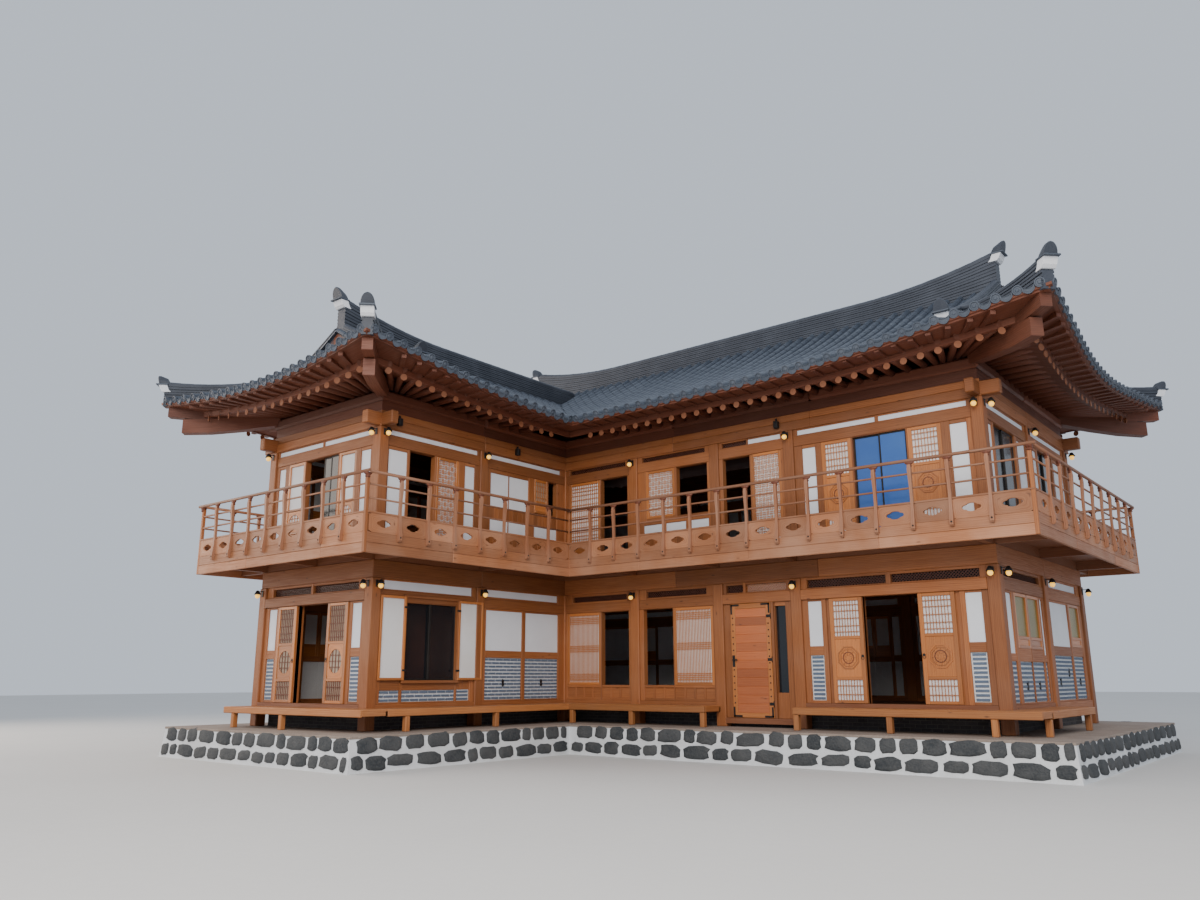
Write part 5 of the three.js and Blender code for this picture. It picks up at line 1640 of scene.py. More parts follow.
WALLS = (
    ("front_window_wall", FRONT, GROUND, (-0.12, 2.16, 4.46), [
        Bay((0, 2.04), [(0.05, 1.10, (DADO, WINDOW)), (1.13, 1.955, (DADO, OPENING))],
            [(0.21, 1.90, T)], (3.45, 3.58)),
        Bay((2.28, 4.34), [(2.39, 3.22, (DADO, OPENING)), (3.24, 4.29, (DADO, WINDOW))],
            [(2.48, 4.14, T)], (3.45, 3.58))]),
    ("wing_side_wall", WING_SIDE, GROUND, (3.04,), [
        Bay((0.24, 2.92), [(0.35, 0.86, ((1.17, 1.40, B), (1.62, 3.15, O))), (0.865, 0.905, ()),
                           (0.915, 2.37, ((1.17, 1.40, B), (1.60, 3.18, O))), (2.42, 2.80, ((1.17, 1.40, B),))],
            [(0.35, 2.80, P)], (3.43, 3.61)),
        Bay((3.16, 5.90), [(3.26, 4.44, SPOTTED), (4.55, 5.71, SPOTTED)], [(3.27, 5.68, P)], (3.45, 3.61))]),
    ("right_side_wall", RIGHT, GROUND, (3.0, 6.0), [
        Bay((0.24, 2.88), [(0.34, 0.74, SHORT), (0.90, 1.698, GILT), (1.702, 2.50, GILT), (2.58, 2.76, SHORT)],
            [(0.4, 2.7, T)], (3.45, 3.58)),
        Bay((3.12, 5.88), [(3.3, 4.70, ((1.17, 2.06, S), (2.25, 3.15, P))),
                           (4.80, 5.66, ((1.17, 2.06, S), (2.26, 3.18, GOLD_LEAF)))],
            [(3.4, 5.6, P)], (3.45, 3.60))]),
    *hidden_walls(GROUND, ("back_wall", "left_side_wall"), (1.19, 2.03), (2.18, 3.15), (2.15, 3.18), B, (3.45, 3.60)),
    ("upper_wing_front_wall", WING_FRONT, UPPER, (0.12, 3.98), [
        Bay((0.24, 3.86), [(0.35, 0.60, PANEL), (0.74, 1.37, tall(TALL_LEAF)), (1.40, 2.62, tall(Fill.HALF_GLASS)),
                           (2.65, 3.26, tall(TALL_LEAF)), (3.42, 3.75, PANEL)],
            [(0.3, 2.0, P), (2.06, 3.8, P)])]),
    ("upper_wing_side_wall", WING_SIDE, UPPER, (3.04,), [
        Bay((0.24, 2.92), [(0.30, 0.80, PANEL), (0.87, 1.58, tall(O)), (1.64, 2.28, tall(FRET_LEAF)),
                           (2.48, 2.78, PANEL)], [(0.3, 2.86, P)]),
        Bay((3.16, 5.90), [(3.30, 3.90, (FOOT, (5.57, 6.36, P))), (3.91, 4.59, (FOOT, (5.57, 6.36, P))),
                           (4.80, 5.28, (FOOT, (5.60, 6.44, SMALL_LEAF))), (5.31, 5.63, (FOOT, (5.60, 6.44, O)))],
            [(3.22, 5.75, P)])]),
    ("upper_front_wall", FRONT, UPPER, (-0.12, 2.16, 4.46, 6.35, 10.35), [
        Bay((0, 2.04), [(0.10, 1.09, tall(GRID_LEAF)), (1.12, 1.95, tall(O))], [(0.1, 1.9, T)]),
        Bay((2.28, 4.34), [(2.52, 3.34, ((5.30, 6.44, FRET_LEAF),)), (3.40, 4.25, ((5.30, 6.44, O),))],
            [(2.4, 4.2, T)], split=5.24, lower=[(2.44, 3.0, APRON), (3.08, 3.64, APRON), (3.72, 4.26, APRON)]),
        Bay((4.58, 6.23), [(4.67, 5.37, tall(O)), (5.40, 6.14, tall(FRET_LEAF))], [(4.66, 5.3, T), (5.34, 6.15, P)]),
        # Its middle column is glass with a painted sky reflection.
        Bay((6.47, 10.23), [(6.66, 6.96, PANEL), (7.10, 7.77, tall(HALL_LEAF)), (7.80, 8.93, tall(Fill.BLUE)),
                            (8.96, 9.63, tall(HALL_LEAF)), (9.80, 10.12, PANEL)],
            [(6.56, 8.31, P), (8.38, 10.15, P)])]),
    ("upper_right_wall", RIGHT, UPPER, (3.0, 6.0), [
        Bay((0.24, 2.88), [(0.32, 0.62, PANEL), (0.73, 2.06, tall(Fill.GLASS)), (2.2, 2.78, PANEL)],
            [(0.3, 2.8, P)]),
        Bay((3.12, 5.88), [(3.22, 3.60, PANEL), (3.70, 4.80, tall(Fill.GLASS)), (4.92, 5.78, PANEL)],
            [(3.2, 5.8, P)])]),
    *hidden_walls(UPPER, ("upper_back_wall", "upper_left_wall"), (4.60, 5.10), (5.25, 6.38), (5.30, 6.44), P,
                  Bay.strip_z),
)


@dataclass
class Walls:
    """All fixed walls of both storeys, bay by bay."""

    window: Span = (0.915, 2.37)
    window_z: Span = (1.60, 3.30)

    def wall(self, node: str, side: Side, storey: Storey, posts: Sequence[float], bays: Sequence[Bay]) -> None:
        """Builds a wall that replaces one CAD node.

        Args:
            node: the CAD node.
            side: the face.
            storey: its levels.
            posts: middles of its posts.
            bays: its bays.
        """
        wall = Wall(node + "_work", side, storey)
        for middle in posts:
            wall.post(middle)
        for bay in bays:
            wall.members(bay.u)
            wall.bay(bay.u, (bay.split or storey.floor, storey.lintel), bay.columns)
            if bay.split:
                wall.bay(bay.u, (storey.floor, bay.split), bay.lower)
            wall.band(bay.u, bay.strips, bay.strip_z)
        if node == "wing_side_wall":
            self.side_window(wall)
        wall.piece.deliver(Slot.TIMBER, node)

    def side_window(self, wall: Wall) -> None:
        """Glazes the wide window of the wing's side and hangs its paper shutters.

        Args:
            wall: the wall that it belongs to.
        """
        (start, end), z = self.window, self.window_z
        wall.glass(self.window, z, Finish.GLASS)
        wall.board((1.60, 1.66), (-0.16, -0.075), z, Finish.IRON, 0.004)
        for edge in ((start - 0.01, start + 0.015), (end - 0.015, end + 0.01)):
            wall.board(edge, (-0.22, 0.0), z)
        for level in ((z[0] - 0.06, z[0]), (z[1] - 0.015, z[1] + 0.03)):
            wall.board((0.86, 2.42), (-0.22, 0.01), level)
        for u, edge in (((0.25, 0.905), 0.905), ((2.38, 3.11), 2.38)):
            Leaf(wall.side, wall.piece, BARS, SHUTTER).build(u, (-0.035, 0.015), z)
            for level in (1.8, 3.08):
                wall.board((edge - 0.05, edge + 0.05), (0.0, 0.022), (level - 0.02, level + 0.02), Finish.IRON, 0.003)

    def build(self) -> None:
        """Builds the fixed walls of both storeys."""
        for plan in WALLS:
            self.wall(*plan)


@dataclass
class WideBay:
    """A wide bay of the ground floor with a pair of sliding leaves."""

    name: str
    doors: str
    side: Side
    clear: Span
    panels: tuple[Span, Span]
    strips: tuple[Span, Span]
    style: LeafStyle
    half_doorway: float = 0.565
    leaf_width: float = 0.70

    @property
    def middle(self) -> float:
        """Returns the middle of the doorway."""
        return sum(self.clear) / 2

    def side_panel(self, hand: int) -> None:
        """Builds the post, panels and boards on one side of the doorway.

        Args:
            hand: 0 for left, 1 for right.
        """
        turn = 1 if hand else -1
        word, panel, outer = ("left", "right")[hand], self.panels[hand], self.clear[hand]
        edge, frame_edge = self.middle + turn * self.half_doorway, panel[1 - hand] - turn * 0.10
        wall = Wall(f"{self.name}_{word}_work", self.side, GROUND)
        wall.post(outer + turn * POST / 2)
        wall.bay(tuple(sorted((outer, frame_edge))), (LOW, HIGH), [(*panel, NARROW)])
        for part in parts(tuple(sorted((frame_edge, edge))), 4):
            wall.board(part, (BACK_OF_WALL, RECESS), (LOW, HIGH), chamfer=0.004)
        wall.board(tuple(sorted((edge, edge + turn * 0.08))), (-0.22, -0.072), (LOW, HIGH))
        wall.piece.deliver(Slot.TIMBER, f"{self.name}_{word}_panel")

    def lintel(self) -> None:
        """Builds the lintel with the two lattice strips above it."""
        wall = Wall(self.name + "_lintel_work", self.side, GROUND)
        wall.board(self.clear, (-0.22, 0), (HIGH, LINTEL_TOP), chamfer=0.01)
        wall.band(self.clear, [(*strip, T) for strip in self.strips], (3.43, 3.59))
        wall.piece.deliver(Slot.TIMBER, self.name + "_lintel")

    def leaf(self, hand: str, start: float, pull: float) -> None:
        """Builds one sliding leaf on its own body.

        Args:
            hand: left or right.
            start: where its left edge lies.
            pull: where its ring pull hangs.
        """
        node, body = f"{self.doors}_door_{hand}", f"{self.doors}_{hand}_leaf"
        bottom, top = LOW + 0.006, HIGH - 0.006
        piece, bars = Joinery(node + "_leaf"), Scatter(node + "_lattice", self.style.lattice, bar_shape)
        leaf = Leaf(self.side, piece, bars, self.style)
        leaf.build((start, start + self.leaf_width), (-0.064, -0.020), (bottom, top))
        leaf.pull(pull, bottom + (top - bottom) * 0.44, -0.020)
        for runner in (start + 0.07, start + self.leaf_width - 0.16):
            piece.board(self.side, (runner, runner + 0.09), (-0.05, -0.034), (LOW + 0.0005, bottom + 0.002),
                        Finish.IRON, 0.002)
        piece.deliver(Slot.DOOR, node, body=body)
        bars.deliver(Slot.DOOR, body=body)

    def build(self) -> None:
        """Builds the whole bay."""
        for hand in (0, 1):
            self.side_panel(hand)
        self.lintel()
        left, right = self.middle - self.half_doorway, self.middle + self.half_doorway
        self.leaf("left", left - self.leaf_width, left - 0.045)
        self.leaf("right", right, right + 0.045)


def stud_shape(mould: Joinery) -> None:
    """Draws a domed nail head."""
    mould.loft(turned(((0, 0.5), (0.55, 0.42), (1, 0.15)), 8), Finish.IRON, smooth=True)


@dataclass
class Entrance:
    """The boarded entrance door, its frame, side light and lintel."""

    left: float = 4.765
    right: float = 5.74
    bottom: float = 0.82
    top: float = HIGH - 0.006
    studs: int = 14

    def door(self) -> None:
        """Builds the hinged door of level boards in a light frame."""
        piece = Joinery("entrance_door_leaf")
        left, right, bottom, top = self.left, self.right, self.bottom, self.top
        inner = (left + 0.11, right - 0.11)
        for u in ((left, inner[0]), (inner[1], right)):
            piece.board(FRONT, u, (-0.06, -0.010), (bottom, top), Finish.LEAF, 0.008)
        for z in ((bottom, bottom + 0.10), (top - 0.11, top)):
            piece.board(FRONT, inner, (-0.06, -0.012), z, Finish.LEAF, 0.008)
        for z in parts((bottom + 0.10, top - 0.11), 12):
            piece.board(FRONT, inner, (-0.05, -0.020), z, Finish.DOOR, 0.005)
        self.fittings(piece)
        piece.deliver(Slot.DOOR, "entrance_door", body="entrance_leaf")
        studs = Scatter("entrance_studs", Finish.IRON, stud_shape)
        for u in (left + 0.055, right - 0.055):
            for z in np.linspace(bottom + 0.30, top - 0.30, self.studs):
                studs.set(FRONT.at(u, -0.010, z), FRONT.along, FRONT.out, (0.034, 0.034, 0.014))
        studs.deliver(Slot.DOOR, body="entrance_leaf")

    def fittings(self, piece: Joinery) -> None:
        """Adds the iron corner plates, hinges and pull.

        Args:
            piece: the door's piece.
        """
        def plate(u: Span, z: Span, d: Span = (-0.012, -0.0065), chamfer: float = 0.001) -> None:
            """Adds one iron plate."""
            piece.board(FRONT, u, d, z, Finish.IRON, chamfer)

        for u, turn in ((self.left, 1), (self.right, -1)):
            for z, up in ((self.bottom, 1), (self.top, -1)):
                for across, high in ((0.22, 0.05), (0.05, 0.22)):
                    plate((u + turn * 0.01, u + turn * across), (z + up * 0.01, z + up * high))
        for share in (0.12, 0.5, 0.88):
            z = self.bottom + (self.top - self.bottom) * share
            plate((self.right - 0.10, self.right), (z - 0.03, z + 0.03))
            barrel = turned(((z - 0.06, 0.009), (z + 0.06, 0.009)), 10) + FRONT.at(5.746, -0.004, 0)
            piece.loft(barrel, Finish.IRON, smooth=True)
        plate((self.left + 0.02, self.left + 0.085), (1.86, 2.10), (-0.012, -0.004), 0.003)
        plate((self.left + 0.035, self.left + 0.06), (1.99, 2.02), (-0.006, 0.030), 0.003)
        plate((self.left + 0.035, self.left + 0.16), (1.99, 2.02), (0.018, 0.034), 0.004)

    def surround(self) -> None:
        """Builds the jambs, the side light and the lintel."""
        start, end = self.right + 0.016, 6.23
        light = (start + 0.075, end - 0.15)
        side = Wall("entrance_side_work", FRONT, GROUND)
        side.board((start, start + 0.06), (-0.22, 0.0), (0.815, HIGH))
        side.bay((start + 0.06, end), (0.815, HIGH), [(*light, ((1.33, 3.10, O),))])
        side.board(light, (-0.13, -0.12), (1.33, 3.10), Finish.GLASS, 0)
        side.piece.deliver(Slot.TIMBER, "entrance_side_panel")
        head = Wall("entrance_lintel_work", FRONT, GROUND)
        head.board((4.58, end), (-0.22, 0), (HIGH, LINTEL_TOP), chamfer=0.01)
        head.board((4.581, self.left - 0.006), (-0.22, FACE), (0.815, HIGH))
        head.band((4.58, end), [(4.66, 5.08, T), (5.14, 6.12, Fill.LIGHT_TRANSOM)], (3.43, 3.59))
        head.piece.deliver(Slot.TIMBER, "entrance_lintel")

    def build(self) -> None:
        """Builds door and surround."""
        self.door()
        self.surround()


@dataclass
class Ridges:
    """Ridge walls of thin tile courses under round covers, with plastered ends."""

    course: float = 0.062
    cover_pitch: float = 0.3
    sunk: float = 0.13
    tall: float = 0.33
    curl: float = 0.41
    curl_run: float = 3.2
    steps: int = 25

    def __post_init__(self) -> None:
        """Starts the covers shared by all ridges."""
        # Ridge covers and courses take the darker ridge tile, which is painted shade.
        self.covers = Scatter("ridge_cover_tiles", Finish.RIDGE, cover_shape)

    def wall(self, piece: Joinery, path: Vec, width: float, ends: tuple[bool, bool] = (False, False)) -> None:
        """Builds one ridge along a path.

        Args:
            piece: collects the mesh.
            path: rows of x, y, base and head in the house's plan.
            width: its width.
            ends: whether the first and the last end are closed with an ornament.
        """
        spots, base, top = path[:, :3] + SHIFT, path[:, 2], path[:, 3] - 0.07
        run = np.gradient(path[:, :2], axis=0)
        run /= np.linalg.norm(run, axis=1)[:, None]
        courses = max(4, round(float((path[:, 3] - base).mean()) / self.course))
        steps = [((i + share) / courses, width / 2 - inset - 0.004 * (i % 2)) for i in range(courses)
                 for share, inset in ((0, 0.0), (0.62, 0.0), (0.62, 0.016), (1, 0.016))]
        shares, half = np.array(steps).T
        rings = []
        for spot, way, low, high in zip(spots, run, base, top):
            level = low + (high - low) * shares
            left, right = (np.column_stack([spot[0] - way[1] * reach, spot[1] + way[0] * reach, level])
                           for reach in (half, -half))
            rings.append(np.concatenate([left, right[::-1]]))
        piece.loft(rings, Finish.RIDGE)
        crest = np.column_stack([spots[:, :2], top - 0.01])
        walked = np.append(0, np.linalg.norm(np.diff(crest, axis=0), axis=1).cumsum())
        even = np.linspace(0, walked[-1], max(2, round(walked[-1] / self.cover_pitch)) + 1)
        marks = np.array([np.interp(even, walked, crest[:, a]) for a in range(3)]).T
        for a, b in zip(marks, marks[1:]):
            up = np.cross(np.cross(b - a, UP), b - a)
            self.covers.set((a + b) / 2, b - a, up, (np.linalg.norm(b - a) + 0.02, width * 0.62, width * 0.30))
        for wanted, at, back in ((ends[0], 0, 1), (ends[1], -1, -2)):
            if wanted:
                out = unit(np.append(spots[at][:2] - spots[back][:2], 0))
                self.ornament(piece, np.append(spots[at][:2], path[at][3]), out, width, path[at][3] - path[at][2])

    @staticmethod
    def ornament(piece: Joinery, head: Vec, out: Vec, width: float, height: float) -> None:
        """Closes a ridge's end: a white block under a dark round-topped tile that leans out.

        Args:
            piece: collects the mesh.
            head: top of the ridge at its end.
            out: direction that the end faces.
            width: width of the ridge.
            height: height of the ridge.
        """
        axes = np.array([out, [-out[1], out[0], 0.0], UP])
        tall, drop, half = min(height * 0.4, 0.17), 0.12, width / 2 + 0.012
        rings = [[head + (reach - 0.03 + x, y, (z - 1) * tall - drop) @ axes
                  for x, y in ((0.07, half), (0.07, -half), (-0.12, -half), (-0.12, half))]
                 for z, reach in ((0, 0.0), (0.3, 0.05), (1.0, 0.10))]
        piece.loft(rings, Finish.PLASTER)
        middle = head - UP * (drop - 0.014) + out * 0.06
        piece.block(middle, axes, (0.14, width / 2 + 0.035, 0.016), Finish.RIM)
        radius = width * 0.58
        arch = [(math.cos(a) * radius, math.sin(a) * radius * 1.5 + 0.03) for a in np.linspace(0, math.pi, 11)]
        outline = [(radius * 0.92, -0.02), *arch, (-radius * 0.92, -0.02)]
        rings = [[head + (depth + 0.07 + z * 0.3, y * grow, z * grow - drop + 0.02) @ axes for y, z in outline]
                 for depth, grow in ((-0.16, 0.72), (-0.06, 0.9), (0.0, 1.0), (0.05, 1.0), (0.062, 0.92))]
        piece.loft(rings, Finish.RIDGE)

    def straight(self, a: Span, b: Span, top: float, curls: tuple[bool, bool]) -> Vec:
        """Lays out a level ridge that curls up at its free ends.

        Args:
            a: its first end in the house's plan.
            b: its last end.
            top: height of the roof under it.
            curls: whether each end is free.

        Returns:
            Rows of x, y, base and head.
        """
        shares = np.linspace(0, 1, self.steps)
        curl = sum(self.curl * np.maximum(0, 1 - far * math.dist(a, b) / self.curl_run) ** 2
                   for far, free in zip((shares, 1 - shares), curls) if free)
        return np.column_stack([np.linspace(a, b, self.steps), np.full(self.steps, top - 0.25), top + 0.56 + curl])

    def corner_paths(self, corner: EaveCorner, run: float, along_y: bool) -> tuple[Vec, Vec]:
        """Lays out a verge's descending ridge and the hip ridge below it.

        Args:
            corner: the corner that they come down to.
            run: distance from the eave to the roof's ridge.
            along_y: whether the verge runs along Y.

        Returns:
            Rows of x, y, base and head for both.
        """
        def spot(tx: float, ty: float, curl: float) -> list[float]:
            """Places one row.

            Args:
                tx: its distance from the eave along X.
                ty: its distance from the eave along Y.
                curl: how much its head is raised.

            Returns:
                The row.
            """
            x, y = np.array(corner.x - corner.sx * tx), np.array(corner.y - corner.sy * ty)
            moved = np.array([x, y, 0]) + corner.move(x, y)
            z = EAVE_HEIGHT + rise(ty if along_y else tx) + moved[2]
            return [moved[0], moved[1], z - self.sunk, z + self.tall + curl]

        inset = VERGE_RUN + 0.12
        down = [spot(inset, t, 0) if along_y else spot(t, inset, 0) for t in np.linspace(0.9, run - 0.15, 12)]
        hips = [spot(t, t, 0.19 * max(0, 1 - t / 1.4) ** 2) for t in np.linspace(0.04, inset, 10)]
        return np.array(down), np.array(hips)

    def ridge(self, node: str, *walls: tuple) -> None:
        """Builds the ridges that replace one CAD node.

        Args:
            node: the CAD node.
            walls: path, width and ends of each.
        """
        piece = Joinery(node + "_courses")
        for wall in walls:
            self.wall(piece, *wall)
        piece.deliver(Slot.TILE, node)

    def build(self) -> None:
        """Builds all ridges, each in place of its CAD node."""
        for node, a, b, top, curls in (
                ("main_ridge", (-3.82, 3.06), (10.19, 3.06), EAVE_HEIGHT + ROOF_HEIGHT, (True, True)),
                ("wing_ridge", (-2.05, -5.62), (-2.05, 2.55), EAVE_HEIGHT + float(rise(WING_RUN)), (True, False))):
            self.ridge(node, (self.straight(a, b, top, curls), 0.30, curls))
        for name, corner, run in (
                ("right_front", MAIN_CORNERS[0], MAIN_RUN), ("right_back", MAIN_CORNERS[1], MAIN_RUN),
                ("left_back", MAIN_CORNERS[2], MAIN_RUN), ("wing_left", WING_CORNERS[0], WING_RUN),
                ("wing_right", WING_CORNERS[1], WING_RUN)):
            verge, hips = self.corner_paths(corner, run, run == MAIN_RUN)
            self.ridge("hip_ridge_" + name, (verge, 0.25, (True, False)), (hips, 0.23, (True, False)))
        ts = np.linspace(VERGE_RUN + 0.24, MAIN_RUN - 0.15, 8)
        z = EAVE_HEIGHT + rise(ts)
        path = np.column_stack([np.full(8, -3.76), ts - EAVE_REACH, z - self.sunk, z + self.tall])
        self.ridge("hip_ridge_left_front", (path, 0.25))
        self.covers.deliver(Slot.TILE)


@dataclass(frozen=True)
class RailRun:
    """One side of the balcony."""

    node: str
    side: Side
    start: float
    end: float
    wraps: tuple[bool, bool]
    bays: int


RUN_START = 0.06 - BALCONY_REACH
RAIL_RUNS = (
    RailRun("wing_front_railing", WING_FRONT, -BALCONY_REACH, WING_WIDTH + BALCONY_REACH, (True, True), 9),
    RailRun("wing_side_railing", WING_SIDE, RUN_START, WING_LENGTH - BALCONY_REACH, (False, False), 8),
    RailRun("front_railing", FRONT, 0.96, MAIN_LENGTH + BALCONY_REACH, (False, True), 15),
    RailRun("right_railing", RIGHT, RUN_START, MAIN_WIDTH + BALCONY_REACH, (False, True), 10),
    RailRun("back_railing", BACK, RUN_START, BACK.length + BALCONY_REACH, (False, True), 22),
    RailRun("left_railing", LEFT, RUN_START, LEFT.length + 0.96, (False, False), 20),
)


@dataclass
class Balcony:
    """Fascia, cut-out panels, rails and curved balusters round the upper floor."""

    fascia: tuple[Span, Span] = ((3.96, 4.155), (4.158, 4.36))
    panel_middle: float = 4.545
    sill: Span = (4.722, 4.762)
    rods: Span = (5.02, 5.29)
    handrail: Span = (1.042, 5.53)
    cap_level: float = 5.435
    corner_reach: float = 0.99

    def __post_init__(self) -> None:
        """Starts the shapes that repeat along all sides."""
        self.balusters = Scatter("balusters", Finish.BALUSTER, self.baluster_shape)
        self.caps = Scatter("baluster_caps", Finish.SOFFIT, self.cap_shape)
        self.bolts = Scatter("baluster_bolts", Finish.IRON, stud_shape)

    @staticmethod
    def baluster_shape(mould: Joinery) -> None:
        """Draws a flat baluster whose front swells at foot and shoulder, in metres.

        Args:
            mould: collects the shape.
        """
        rows = np.array((
            (0, 40, 40, 26), (30, 72, 70, 34), (120, 78, 74, 37), (220, 62, 64, 34), (400, 44, 54, 29),
            (620, 40, 50, 27), (840, 46, 52, 29), (1020, 60, 58, 34), (1140, 66, 60, 36), (1220, 58, 54, 30))) / 1000
        rings = [[[f, -w, z], [f, w, z], [f - t, w, z], [f - t, -w, z]] for z, f, t, w in rows]
        mould.loft(rings, Finish.TIMBER)

    @staticmethod
    def cap_shape(mould: Joinery) -> None:
        """Draws the leaf-shaped cap between baluster and handrail, in metres.

        Args:
            mould: collects the shape.
        """
        rows = ((-0.03, 0.03, 0.03), (-0.01, 0.04, 0.055), (0.015, 0.032, 0.042), (0.045, 0.040, 0.085),
                (0.068, 0.036, 0.095))
        rings = [np.column_stack([circle(8, math.pi / 8) * (x, y), np.full(8, z)]) for z, x, y in rows]
        mould.loft(rings, Finish.SOFFIT)

    def pole(self, piece: Joinery, side: Side, u: Span, d: float, z: float, radius: float) -> None:
        """Adds a round pole along a face.

        Args:
            piece: collects the mesh.
            side: the face.
            u: extent along it.
            d: how far out its middle lies.
            z: its height.
            radius: its radius.
        """
        spots = np.linspace(*u, max(2, round((u[1] - u[0]) / 1.5)))
        rings = [[side.at(s, d + a, z + b) for a, b in circle(10) * radius] for s in spots]
        piece.loft(rings, Finish.BALUSTER, smooth=True)

    def run(self, run: RailRun) -> None:
        """Builds one side of the balcony.

        Args:
            run: the side.
        """
        piece = Joinery(run.node + "_work")
        side, start, end, wraps = run.side, run.start, run.end, run.wraps
        marks = np.linspace(start + 0.03, end - 0.03, run.bays + 1)
        seams = [start, *marks[3:-2:4], end]
        for seam in zip(seams, seams[1:]):
            for z in self.fascia:
                piece.board(side, seam, (0.96, 1.02), z, Finish.RAIL, 0.008)
        inset = [0.0 if wrap else 0.002 for wrap in wraps]
        piece.board(side, (start + inset[0], end - inset[1]), (0.955, 1.032), self.sill, Finish.RAIL, 0.008)
        for a, b in zip(marks, marks[1:]):
            half = (b - a) / 2
            pierced(piece, side, (a + half, self.panel_middle), (half, 0.185), (min(0.17, half * 0.5), 0.075),
                    (0.982, 1.02), Finish.RAIL, 0.20)
        for z in self.rods:
            self.pole(piece, side, (start + 0.03, end - 0.03), 1.0, z, 0.019)
        reach = (start - (0.10 if wraps[0] else -0.02), end + (0.10 if wraps[1] else 0.04))
        self.pole(piece, side, reach, *self.handrail, 0.032)
        piece.deliver(Slot.TIMBER, run.node)
        for u in marks[1:-1]:
            self.balusters.set(side.at(u, 1.02, 4.23), side.out, UP, (1, 1, 1))
            self.caps.set(side.at(u, self.handrail[0], self.cap_level), side.out, UP, (1, 1, 1))
            self.bolts.set(side.at(u, 1.092, 4.31), side.along, side.out, (0.04, 0.04, 0.014))

    def corners(self) -> None:
        """Stands a post at each corner of the balcony, and a cap on the outer ones."""
        piece = Joinery("balcony_corner_posts")
        for side in (WING_FRONT, WING_SIDE, RIGHT, BACK, LEFT, FRONT):
            u = self.corner_reach if side is FRONT else -self.corner_reach
            piece.block(side.at(u, self.corner_reach, 4.735), side.axes, (0.036, 0.036, 0.775), Finish.TIMBER, 0.008)
            if side is not FRONT:
                self.caps.set(side.at(-1.0, 1.0, self.cap_level), side.out, UP, (1.6, 1, 1))
        piece.deliver(Slot.TIMBER)

    def build(self) -> None:
        """Builds all sides of the balcony."""
        for run in RAIL_RUNS:
            self.run(run)
        self.corners()
        for scatter in (self.balusters, self.caps, self.bolts):
            scatter.deliver(Slot.TIMBER)


@dataclass
class Beams:
    """Ring beams of both storeys, corner heads and corner rafters."""

    depth: Span = (-0.22, -0.02)
    longest: float = 3.4
    head_width: float = 0.18
    head_z: Span = (6.84, 7.12)

    def ring(self, piece: Joinery, d: Span, z: Span, finish: Finish = Finish.TIMBER, chamfer: float = 0.012) -> None:
        """Lays a beam along every face, its ends tucked behind the next face's beam.

        Args:
            piece: collects the mesh.
            d: extent outwards.
            z: extent upwards.
            finish: its finish.
            chamfer: width of the bevel.
        """
        for side in FACES:
            start = d[0] if side is FRONT else -d[1] + 0.0015
            end = side.length - d[0] if side is WING_SIDE else side.length + d[1] - 0.0005
            for cut in parts((start, end), max(1, round((end - start) / self.longest))):
                piece.board(side, cut, d, z, finish, chamfer)

    def build(self) -> None:
        """Builds the beams."""
        ground = Joinery("ground_beams_work")
        self.ring(ground, self.depth, (RING_BOTTOM, 4.0095))
        ground.deliver(Slot.TIMBER, "ground_beams")
        upper = Joinery("upper_beams_work")
        self.ring(upper, self.depth, (UPPER_RING_BOTTOM, 7.02))
        self.ring(upper, (-0.21, -0.03), (7.022, UPPER_RING_TOP))
        # The rings above the beam take the darkened timber: painted shade under the eaves.
        self.ring(upper, (-0.17, -0.07), (7.179, 7.401), Finish.SOFFIT, 0.004)
        self.ring(upper, (-0.23, -0.01), (7.40, 7.63), Finish.SOFFIT, 0.05)
        for left_out, start in ((FRONT, lambda side: 0.03), (WING_SIDE, lambda side: side.length - 0.21)):
            for side in FACES:
                if side is not left_out:
                    u = (start(side), start(side) + self.head_width)
                    upper.board(side, u, (-0.2, 0.33), self.head_z, Finish.TIMBER, 0.02)
        upper.deliver(Slot.TIMBER, "upper_beams")
        rafters = Joinery("corner_rafters")
        for corner in (*MAIN_CORNERS, *WING_CORNERS):
            self.corner_rafter(rafters, corner, ((1.62, 0.08), (1.0, -0.05), (0.5, -0.13), (0.05, -0.155)), 0.115)
            self.corner_rafter(rafters, corner, ((0.9, 0.20), (0.4, 0.17), (-0.2, 0.235)), 0.105)
        rafters.deliver(Slot.DARK)

    @staticmethod
    def corner_rafter(piece: Joinery, corner: EaveCorner, path: Sequence[Span], half: float) -> None:
        """Adds one beam under a hip.

        Args:
            piece: collects the mesh.
            corner: the corner that it runs to.
            path: distance from the eaves and height above the eave's level of its middle.
            half: half its width.
        """
        across, tall = unit(np.array([-corner.sy, corner.sx, 0.0])) * half, UP * 0.165
        rings = []
        for t, z in path:
            spot = np.array([corner.x - corner.sx * t, corner.y - corner.sy * t, EAVE_HEIGHT + z]) + SHIFT
            rings.append([spot + across * a + tall * b for a, b in ((1, 1), (-1, 1), (-1, -1), (1, -1))])
        piece.loft(rings, Finish.SOFFIT)


